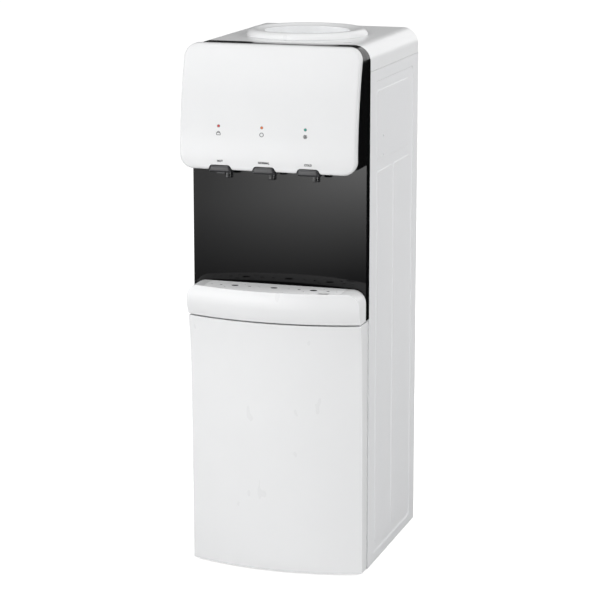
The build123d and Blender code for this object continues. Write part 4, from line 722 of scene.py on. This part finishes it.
fascia_height = fascia_head - fascia_foot
fascia = rounded_plate(2 * half_width, fascia_height, fascia_corner, fascia_depth)
round_off(fascia, edges_with(fascia, lambda place: abs(place.z) < near), fascia_rim, 6)
rear_face = min(fascia.faces, key=lambda face: face.calc_center_median().z)
bmesh.ops.inset_region(fascia, faces=[rear_face], thickness=fascia_wall)
hollow_wall = bmesh.ops.extrude_face_region(fascia, geom=[rear_face])
bmesh.ops.translate(fascia, vec=(0, 0, fascia_depth - fascia_wall), verts=new_verts(hollow_wall))
if rear_face.is_valid:
    fascia.faces.remove(rear_face)
settle(fascia)
for strip in range(1, fascia_strips):
    row = (strip / fascia_strips - 0.5) * fascia_height
    whole = fascia.verts[:] + fascia.edges[:] + fascia.faces[:]
    bmesh.ops.bisect_plane(fascia, geom=whole, dist=near, plane_co=(0, row, 0), plane_no=(0, 1, 0))
for vert in fascia.verts:
    vert.co = on_fascia(vert.co)
print("fascia faces before its cuts", len(fascia.faces))


def notch_mesh(middle_x):
    """The wedge-sided block that cuts one lever notch, along the depth."""
    bm = box_mesh((-0.5, -notch_front, fascia_foot - overrun), (0.5, notch_rear, notch_head_z))
    slope = (notch_foot_width - notch_head_width) / (notch_head_z - fascia_foot)
    foot_width = notch_foot_width + slope * overrun
    for vert in bm.verts:
        vert.co.x *= notch_head_width if vert.co.z > fascia_foot else foot_width
    head = edges_with(bm, lambda place: place.z > fascia_foot)
    round_off(bm, [edge for edge in head if edge_span(edge, 0) < near], notch_corner, 6)
    bmesh.ops.translate(bm, vec=(middle_x, face_y - fascia_reach, 0), verts=bm.verts)
    return bm


for x in tap_x.values():
    fascia = combine(fascia, notch_mesh(x))
for x in lens_x:
    hole = bar_mesh((x, 0, -2 * fascia_wall), lens_hole, 4 * fascia_wall, sides=32)
    bmesh.ops.transform(hole, matrix=lens_place, verts=hole.verts)
    fascia = combine(fascia, hole)
fascia_names = ("cabinet", "white_shell", fascia_plastic, ["fascia_panel"])
finish_piece("fascia_shell", fascia, *fascia_names, edge=0.0005, merge=0.0001)

# %% [markdown]
# ## Top cover
# Seen from the front, the top of the cabinet is an arch: flat above, with a
# quarter circle of 28 mm at each shoulder. A box with its two upper side edges
# bevelled is that arch. A smaller one makes it hollow, and a wide bar makes the
# round opening for the bottle collar.

# %% The top cover
cover_low, cover_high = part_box("top_cover")
shoulder_radius = 0.028
cover_wall = 0.003
collar_low, collar_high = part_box("bottle_collar")
bottle_y = (collar_low[1] + collar_high[1]) / 2
collar_skirt = 0.077
collar_cut = 0.1


def arched_block(inset, low, high):
    """A block whose upper side edges are rounded, drawn in by an inset."""
    bm = box_mesh(low, high)
    crown = edges_with(bm, lambda place: place.z > high[2] - near)
    round_off(bm, [edge for edge in crown if edge_span(edge, 1) > near], shoulder_radius - inset, 14)
    return bm


cover = arched_block(0, cover_low, cover_high)
inner_low = (cover_low[0] + cover_wall, cover_low[1] + cover_wall, cover_low[2] - overrun)
inner_high = (cover_high[0] - cover_wall, cover_high[1] - cover_wall, cover_high[2] - cover_wall)
cover = combine(cover, arched_block(cover_wall, inner_low, inner_high))
cover = combine(cover, bar_mesh((0, bottle_y, cover_low[2]), collar_skirt + gap, collar_cut, 128))
finish_piece("cover_shell", cover, "cabinet", "white_shell", white_plastic, ["top_cover"], edge=0.0016)

# %% [markdown]
# ## Bottle collar and seat
# Both are round about the bottle's axis, so each is one profile spun through a
# full turn. The collar rises in a bulge, has a flat rim, and dishes down to a
# ledge. The seat hangs on that ledge and narrows to the neck well.

# %% Spun pieces
def spun_mesh(profile, middle, turns=96):
    """Spin a closed profile of (radius, height) points about an upright axis."""
    bm = bmesh.new()
    ring = [bm.verts.new((radius, 0, height)) for radius, height in profile]
    edges = [bm.edges.new((a, b)) for a, b in zip(ring, ring[1:] + ring[:1])]
    bmesh.ops.spin(
        bm, geom=ring + edges, cent=(0, 0, 0), axis=(0, 0, 1), angle=2 * pi, steps=turns, use_merge=True
    )
    bmesh.ops.translate(bm, vec=(*middle, 0), verts=bm.verts)
    bmesh.ops.remove_doubles(bm, verts=bm.verts, dist=near)
    settle(bm)
    bmesh.ops.recalc_face_normals(bm, faces=bm.faces)
    return bm


def arc_points(start, end, bulge, steps=8):
    """Points along a shallow arc. bulge is how far its middle stands out, to the right of its way."""
    start, run = Vector(start), Vector(end) - Vector(start)
    aside = Vector((run.y, -run.x)).normalized()
    shares = [step / steps for step in range(steps + 1)]
    return [tuple(start + run * share + aside * bulge * sin(pi * share)) for share in shares]


collar_base_radius = collar_high[0]
collar_rim_outer_radius = 0.097
collar_rim_inner_radius = 0.090
collar_bore = 0.0745
collar_bulge = 0.0022
collar_dish = 0.004
dish_bulge = 0.0008
ledge_thickness = 0.003
ledge_width = 0.004
collar_top = collar_high[2]
cover_top = cover_high[2]
ledge_top = collar_low[2] + ledge_thickness
ledge_radius = collar_bore - ledge_width
collar_profile = (
    arc_points((collar_base_radius, cover_top), (collar_rim_outer_radius, collar_top), collar_bulge)
    + arc_points((collar_rim_inner_radius, collar_top), (collar_bore, collar_top - collar_dish), -dish_bulge)
    + [(collar_bore, ledge_top), (ledge_radius, ledge_top), (ledge_radius, collar_low[2])]
    + [(collar_skirt, collar_low[2]), (collar_skirt, cover_top)]
)
collar = spun_mesh(collar_profile, (0, bottle_y))
finish_piece("collar_ring", collar, "cabinet", "white_shell", white_plastic, ["bottle_collar"], edge=0.0008)

# %% The seat
seat_low, seat_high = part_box("bottle_seat")
seat_top = seat_high[2]
seat_floor = 0.0025
seat_wall = 0.0025
neck_radius = 0.0305
neck_turn = 0.0008
probe_hole = 0.00905
bowl_radius = 0.0675
bowl_depth = 0.029
bowl_lip = 0.001
bowl_bulge = 0.0016
well_floor = seat_low[2] + seat_floor
well_top = seat_top - bowl_depth
seat_skin = ledge_radius - 2 * gap
flange_radius = collar_bore - gap
neck_skin = neck_radius + seat_wall
bowl_start = (bowl_radius - bowl_lip, seat_top - bowl_lip)
bowl_end = (neck_radius + bowl_lip, well_top + neck_turn)
seat_profile = (
    [(probe_hole, seat_low[2]), (neck_skin, seat_low[2]), (neck_skin, well_top - seat_wall)]
    + [(seat_skin, collar_low[2] - gap), (seat_skin, ledge_top), (flange_radius, ledge_top)]
    + [(flange_radius, seat_top), (bowl_radius, seat_top)]
    + arc_points(bowl_start, bowl_end, bowl_bulge)
    + [(neck_radius, well_top), (neck_radius, well_floor), (probe_hole, well_floor)]
)
seat = spun_mesh(seat_profile, (0, bottle_y))
finish_piece("seat_bowl", seat, "seat", "seat_plastic", seat_plastic, ["bottle_seat"], edge=0.0006)

# %% [markdown]
# ## Soft-edged copies
# The other outer mouldings have the right shape already, but their CAD edges are
# knife sharp. A imported mesh is loose triangles, so a copy is merged first, its
# flat triangles are joined into whole faces, and then the same bevel rounds the
# edges. Only the copy changes: the CAD node itself stays as it came. The grille's
# copy also gets a thin skin, so that from the side its holes show the basin below, whose near-black colour
# is painted shade.

# %% Copies of CAD mouldings with soft edges
soft_merge = 0.00002
flat_angle = radians(0.4)
grille_skin = 0.0008


def softened_copy(node, slot, material, edge, sharp=35, thickness=None):
    """A merged copy of a CAD node with rounded edges, which stands for the node."""
    bm = bmesh.new()
    bm.from_mesh(frame["nodes"][node].data)
    bmesh.ops.remove_doubles(bm, verts=bm.verts, dist=soft_merge)
    bmesh.ops.dissolve_limit(bm, angle_limit=flat_angle, verts=bm.verts, edges=bm.edges)
    if thickness:
        low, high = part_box(node)
        foot = [vert for vert in bm.verts if vert.co.z < (low[2] + high[2]) / 2]
        bmesh.ops.translate(bm, vec=(0, 0, high[2] - low[2] - thickness), verts=foot)
    bodies = frame["record"]["behaviour"]["bodies"]
    body = next(name for name, members in bodies.items() if node in members)
    finish_piece(node + "_soft", bm, body, slot, material, [node], edge, soft_merge, sharp)


softened_copy("front_frame", "black_shell", gloss_black, edge=0.0010)
softened_copy("tap_housing", "black_shell", housing_black, edge=0.0008)
softened_copy("side_panel_right", "grey_panel", panel_plastic, edge=0.0010, sharp=15)
softened_copy("side_panel_left", "grey_panel", panel_plastic, edge=0.0010, sharp=15)
# The basin's near-black colour is painted shade.
softened_copy("drip_tray", "tray_plastic", dark_shade_basin, edge=0.0004)
softened_copy("drip_grille", "tray_plastic", tray_plastic, edge=0.0002, thickness=grille_skin)
for name in tap_x:
    softened_copy(name + "_tap_lever", "dark_lever", lever_plastic, edge=0.0005)
    softened_copy(name + "_tap_body", "black_shell", fitting_black, edge=0.0004)
softened_copy("child_lock", "dark_lever", lever_plastic, edge=0.0003)

# %% [markdown]
# ## Indicator lamps
# Each lamp is a small clear dome on a stem, and the three differ in colour only.
# A dome is a quarter circle spun through a full turn. A little light of its own
# makes a lit lens read as lit, also in a bright room.

# %% The lamps
def lens_finish(name, color, glow):
    """Tinted lens plastic with a small glow and fine moulding swirl."""
    made, tree, shader, place = new_finish(name, 0.12)
    swirl = noise(tree, place, 900.0, 3.0)
    set_color(tree, shader, spread_value(tree, swirl, 0.0, 1.0), shade(color, 0.7), shade(color, 1.15))
    shader.inputs["Emission Color"].default_value = (*color, 1)
    shader.inputs["Emission Strength"].default_value = glow
    shader.inputs["Coat Weight"].default_value = 0.6
    return made


lamp_colors = {"hot": (0.55, 0.03, 0.03), "normal": (0.65, 0.14, 0.02), "cold": (0.01, 0.28, 0.22)}
lamp_radius = 0.0019
lamp_stem = 0.0075
lamp_proud = 0.0004
lamp_glow = 0.15
lamp_merge = 0.00001
for (name, color), x in zip(lamp_colors.items(), lens_x):
    dome = [(lamp_radius * cos(radians(a)), lamp_proud * sin(radians(a))) for a in range(0, 90, 15)]
    profile = [(0, -lamp_stem), (lamp_radius, -lamp_stem)] + dome + [(0, lamp_proud)]
    lamp = spun_mesh(profile, (x, 0), 32)
    bmesh.ops.transform(lamp, matrix=lens_place, verts=lamp.verts)
    tinted = lens_finish(name + "_lens", color, lamp_glow)
    lamp_names = ("cabinet", "indicator_lens", tinted, ["indicator_leds"])
    finish_piece(name + "_lamp", lamp, *lamp_names, merge=lamp_merge)

# %% [markdown]
# ## Printed marks
# A thin dark ring runs round each lamp, a small symbol is printed under it, and
# over each lever stands what it pours. Ink has hardly any thickness, so each mark
# is a sheet 0.06 mm thick on the fascia. Words come from a text object, which is
# made a mesh before it is put in its place.

# %% The printed marks
ink_rise = 0.00006
ink_merge = 0.000005
mark_drop = 0.0118
word_drop = 0.0605
word_size = 0.0048
word_weight = 0.00026
stroke = 0.0010
bezel_radius = 0.0023
bezel_width = 0.0005
ring_radius = 0.0032
cup_half_width = 0.0032
cup_half_height = 0.0026
cup_brim = 0.4
cup_drop = 0.0005
arch_radius = 0.0022
arch_rise = 0.0006
flake_radius = 0.0038
twig_place = 0.0021
twig_length = 0.0016
twig_angle = 0.9
twig_stroke = 0.8


def printed_ink(name, color):
    """Dark screen-printed ink with a slightly broken edge tone."""
    made, tree, shader, place = new_finish(name, 0.5)
    grains = noise(tree, place, 2600.0, 3.0)
    set_color(tree, shader, spread_value(tree, grains, 0.0, 1.0), shade(color, 0.8), shade(color, 1.5))
    set_bump(tree, shader, grains, 0.00001)
    return made


ink = printed_ink("dark_ink", (0.020, 0.020, 0.022))


def ring_mark(bm, middle, radius, width, start=0.0, turn=2 * pi, steps=32):
    """Add a flat ring, or part of one, about a place on the fascia."""
    inner = bm.verts.new((radius - width / 2, 0, 0))
    outer = bm.verts.new((radius + width / 2, 0, 0))
    edge = bm.edges.new((inner, outer))
    bmesh.ops.rotate(bm, cent=(0, 0, 0), matrix=Matrix.Rotation(start, 3, "Z"), verts=[inner, outer])
    full = abs(turn - 2 * pi) < near
    geom = [inner, outer, edge]
    bmesh.ops.spin(bm, geom=geom, cent=(0, 0, 0), axis=(0, 0, 1), angle=turn, steps=steps, use_merge=full)
    ring_verts = {vert for face in bm.faces for vert in face.verts}
    reached = [vert for vert in ring_verts if vert.co.length < radius + width and not vert.tag]
    bmesh.ops.translate(bm, vec=(*middle, 0), verts=reached)
    for vert in reached:
        vert.tag = True


def bar_mark(bm, start, end, width):
    """Add a flat bar between two places on the fascia."""
    run = Vector(end) - Vector(start)
    grid = bmesh.ops.create_grid(bm, x_segments=1, y_segments=1, size=0.5)
    bmesh.ops.scale(bm, vec=(run.length, width, 1), verts=grid["verts"])
    turn = Matrix.Rotation(Vector((1, 0)).angle_signed(run) * -1, 3, "Z")
    bmesh.ops.rotate(bm, cent=(0, 0, 0), matrix=turn, verts=grid["verts"])
    bmesh.ops.translate(bm, vec=(*((Vector(start) + Vector(end)) / 2), 0), verts=grid["verts"])
    for vert in grid["verts"]:
        vert.tag = True


def place_marks(name, bm):
    """Lay flat marks on the fascia's arc as one thin printed piece."""
    thick = bmesh.ops.extrude_face_region(bm, geom=bm.faces[:])
    bmesh.ops.translate(bm, vec=(0, 0, ink_rise), verts=new_verts(thick))
    settle(bm)
    for vert in bm.verts:
        vert.co = on_fascia(vert.co)
    finish_piece(name, bm, "cabinet", "black_shell", ink, merge=ink_merge)


def heading(angle):
    """The direction on the fascia at an angle from its X axis."""
    return Vector((cos(angle), sin(angle)))


hot_x, normal_x, cold_x = lens_x
lamp_row = lens_z - fascia_middle_z
mark_row = lamp_row - mark_drop
bezels = bmesh.new()
for x in lens_x:
    ring_mark(bezels, (x, lamp_row), bezel_radius, bezel_width)
place_marks("lamp_bezels", bezels)
cup = bmesh.new()
ring_mark(cup, (hot_x, mark_row + arch_rise), arch_radius, stroke, 0.0, pi, 16)
low_left, low_right, brim_left, brim_right = (-1, -1), (1, -1), (-1, cup_brim), (1, cup_brim)
for side in ((low_left, low_right), (brim_left, brim_right), (low_left, brim_left), (low_right, brim_right)):
    ends = [(hot_x + x * cup_half_width, mark_row - cup_drop + y * cup_half_height) for x, y in side]
    bar_mark(cup, *ends, stroke)
place_marks("cup_mark", cup)
ring = bmesh.new()
ring_mark(ring, (normal_x, mark_row), ring_radius, stroke)
place_marks("ring_mark", ring)
flake = bmesh.new()
flake_middle = Vector((cold_x, mark_row))
for arm in range(3):
    reach = heading(arm * pi / 3) * flake_radius
    bar_mark(flake, flake_middle - reach, flake_middle + reach, stroke)
for arm in range(6):
    fork = flake_middle + heading(arm * pi / 3) * twig_place
    for side in (-1, 1):
        twig = heading(arm * pi / 3 + side * twig_angle) * twig_length
        bar_mark(flake, fork, fork + twig, stroke * twig_stroke)
place_marks("flake_mark", flake)

# %% The words over the levers
for name, x in tap_x.items():
    words = bpy.data.curves.new(name + "_word", "FONT")
    words.body = name.upper()
    words.size = word_size
    words.offset = word_weight
    words.align_x = "CENTER"
    holder = add_object(name + "_word", words)
    depsgraph = bpy.context.evaluated_depsgraph_get()
    flat = bpy.data.meshes.new_from_object(holder.evaluated_get(depsgraph))
    bpy.data.objects.remove(holder)
    word = bmesh.new()
    word.from_mesh(flat)
    bmesh.ops.remove_doubles(word, verts=word.verts, dist=ink_merge)
    bmesh.ops.translate(word, vec=(x, lamp_row - word_drop, 0), verts=word.verts)
    place_marks(name + "_word_mark", word)

# %% [markdown]
# ## Finishes for the CAD nodes that stay
# Everything else is the right shape as it is: the back with its slots, the
# condenser, the tanks and hoses inside. Such a node keeps its mesh, and its
# material slots take one of the finishes from above.

# %% Dress the remaining nodes
springs = [name + "_valve_spring" for name in tap_x]
plungers = [name + "_valve_plunger" for name in tap_x]
hoses = [name + "_hose" for name in tap_x]
switches = ("heating_switch", "cooling_switch")
dress = {
    galvanised: ("base_pan", "back_panel", "tank_frame"),
    black_enamel: ("compressor", "condenser", "condenser_wires"),
    stainless: ("cold_tank", "hot_tank", "lever_pins", "hinge_pins", "screws", "heater_band"),
    bright_wire: springs,
    copper: ("evaporator_coil",),
    rubber: ("feet", "compressor_grommets", *plungers),
    silicone: (*hoses, "feed_hose"),
    foam: ("cold_tank_foam",),
    felt: ("hot_tank_jacket",),
    laminate: ("indicator_board",),
    ferrite: ("door_catch",),
    liner_plastic: ("storage_liner", "door_liner"),
    seat_plastic: ("bottle_probe", "cold_tank_lid", "tap_nuts"),
    fitting_black: ("tap_bonnets", "switch_box", "cord_gland", "drain_cap", *switches),
}
for material, names in dress.items():
    for name in names:
        slots = frame["nodes"][name].data.materials
        if not slots:
            slots.append(material)
        for index in range(len(slots)):
            slots[index] = material
dressed = {name for names in dress.values() for name in names}
shown = {name for name, node in frame["nodes"].items() if not node.hide_render}
print("dressed", len(dressed), "nodes; still plain:", sorted(shown - dressed))

# %% [markdown]
# ## Stage, light and camera
# The photograph is a product shot on white. A pale floor catches a soft shadow,
# and camera rays that miss it see plain white. The right side of the object sees
# a darker room, which is what keeps its black edge black.

# %% The floor
floor_size = 14.0
floor_lift = 0.72
floor_material = bpy.data.materials.new("pale_floor")
floor_material.use_nodes = True
floor_tree = floor_material.node_tree
floor_shader = floor_tree.nodes["Principled BSDF"]
floor_shader.inputs["Base Color"].default_value = (0.80, 0.80, 0.80, 1)
floor_shader.inputs["Roughness"].default_value = 0.9
floor_rays = floor_tree.nodes.new("ShaderNodeLightPath")
floor_place = add_node(
    floor_tree, "ShaderNodeSeparateXYZ", {0: floor_tree.nodes.new("ShaderNodeTexCoord").outputs["Object"]}
)
# Glossy rays see a painted glow in place of the lit floor: a pool of light that fades over these places
# along Y and X, in metres
toward_front = spread_value(floor_tree, floor_place.outputs[1], 2.5, 0.02, -3.7, -2.1)
toward_left = spread_value(floor_tree, floor_place.outputs[0], 1.5, 0.02, -2.6, 0.4)
pool = calculate(floor_tree, "MULTIPLY", toward_left, toward_front)
camera_lift = calculate(floor_tree, "MULTIPLY", floor_rays.outputs["Is Camera Ray"], floor_lift)
floor_shader.inputs["Emission Color"].default_value = (1, 1, 1, 1)
floor_tree.links.new(camera_lift, floor_shader.inputs["Emission Strength"])
# This emission is a painted reflection, which mirrors see instead of the floor.
mirrored = add_node(floor_tree, "ShaderNodeEmission", {"Color": (1, 1, 1, 1), "Strength": pool})
floor_mix = add_node(
    floor_tree,
    "ShaderNodeMixShader",
    {0: floor_rays.outputs["Is Glossy Ray"], 1: floor_shader.outputs[0], 2: mirrored.outputs[0]},
)
floor_tree.links.new(floor_mix.outputs[0], floor_tree.nodes["Material Output"].inputs["Surface"])
floor_bm = bmesh.new()
bmesh.ops.create_grid(floor_bm, x_segments=1, y_segments=1, size=floor_size)
floor_mesh = mesh_from("floor", floor_bm)
floor_mesh.materials.append(floor_material)
floor = add_object("floor", floor_mesh)
print("floor", floor.dimensions[:])

# %% The world
ambient = 0.42
world = bpy.data.worlds.new("studio")
bpy.context.scene.world = world
world.use_nodes = True
sky = world.node_tree
sky.nodes.clear()
rays = sky.nodes.new("ShaderNodeLightPath")
sky_place = sky.nodes.new("ShaderNodeTexCoord").outputs["Generated"]
direction = add_node(sky, "ShaderNodeSeparateXYZ", {0: sky_place})
to_right = spread_value(sky, direction.outputs[0], 1.0, 0.08, -0.2, 0.7)
to_rear = spread_value(sky, direction.outputs[1], 1.0, 0.04, -0.2, 0.5)
tone = calculate(sky, "MULTIPLY", to_right, to_rear)
room = add_node(sky, "ShaderNodeCombineColor", {0: tone, 1: tone, 2: tone})
seen_color = blend_colors(sky, rays.outputs["Is Camera Ray"], room.outputs[0], (1, 1, 1, 1))
seen = add_node(sky, "ShaderNodeBackground", {"Color": seen_color, "Strength": 1.0})
lit = add_node(sky, "ShaderNodeBackground", {"Color": (1, 1, 1, 1), "Strength": ambient})
mirror_rays = calculate(sky, "MAXIMUM", rays.outputs["Is Glossy Ray"], rays.outputs["Is Transmission Ray"])
any_rays = calculate(sky, "MAXIMUM", rays.outputs["Is Camera Ray"], mirror_rays)
mixed = add_node(sky, "ShaderNodeMixShader", {0: any_rays, 1: lit.outputs[0], 2: seen.outputs[0]})
add_node(sky, "ShaderNodeOutputWorld", {"Surface": mixed.outputs[0]})
print("world nodes", len(sky.nodes))

# %% The lamps of the studio
def area_lamp(name, place, target, size, power, in_mirrors):
    """A square soft lamp at a place, turned to a target."""
    lamp = bpy.data.lights.new(name, "AREA")
    lamp.size = size
    lamp.energy = power
    holder = add_object(name, lamp)
    holder.location = place
    holder.rotation_euler = (Vector(target) - Vector(place)).to_track_quat("-Z", "Y").to_euler()
    holder.visible_glossy = in_mirrors


middle = (0, 0, 0.5)
crown = (0, 0, 0.9)
alcove = (0, -0.15, 0.66)
# Name, place, target, size in metres, power in watts, and whether mirrors show it
studio = (
    ("key", (-1.3, -3.2, 2.75), middle, 1.8, 86, False),
    ("top", (-0.3, -0.9, 3.4), middle, 1.4, 6, True),
    ("side_fill", (3.0, 0.9, 2.1), middle, 1.2, 56, False),
    ("rim", (0.85, 3.1, 2.0), crown, 2.2, 14, True),
    ("left_strip", (-2.4, -1.2, 0.16), alcove, 0.3, 4, True),
    ("right_strip", (2.0, -1.8, 0.16), alcove, 0.3, 4, True),
)
for row in studio:
    area_lamp(*row)

# %% [markdown]
# The camera stands to the right of the object and a little above it, just over
# four metres away, and looks slightly down. Its place and lens come from fitting
# the corners of the cabinet to the photograph.

# %% The camera
camera_place = (1.2228, -3.8571, 1.3452)
camera_tilt = 12.485
camera_turn = 17.686
camera_lens = 140.0
camera_data = bpy.data.cameras.new("camera")
camera_data.sensor_width = 36.0
camera_data.lens = camera_lens
camera = add_object("camera", camera_data)
camera.location = camera_place
camera.rotation_euler = (radians(90 - camera_tilt), 0, radians(camera_turn))
bpy.context.scene.camera = camera
bpy.context.scene.view_settings.view_transform = "Standard"
print("camera at", [round(value, 3) for value in camera.location])
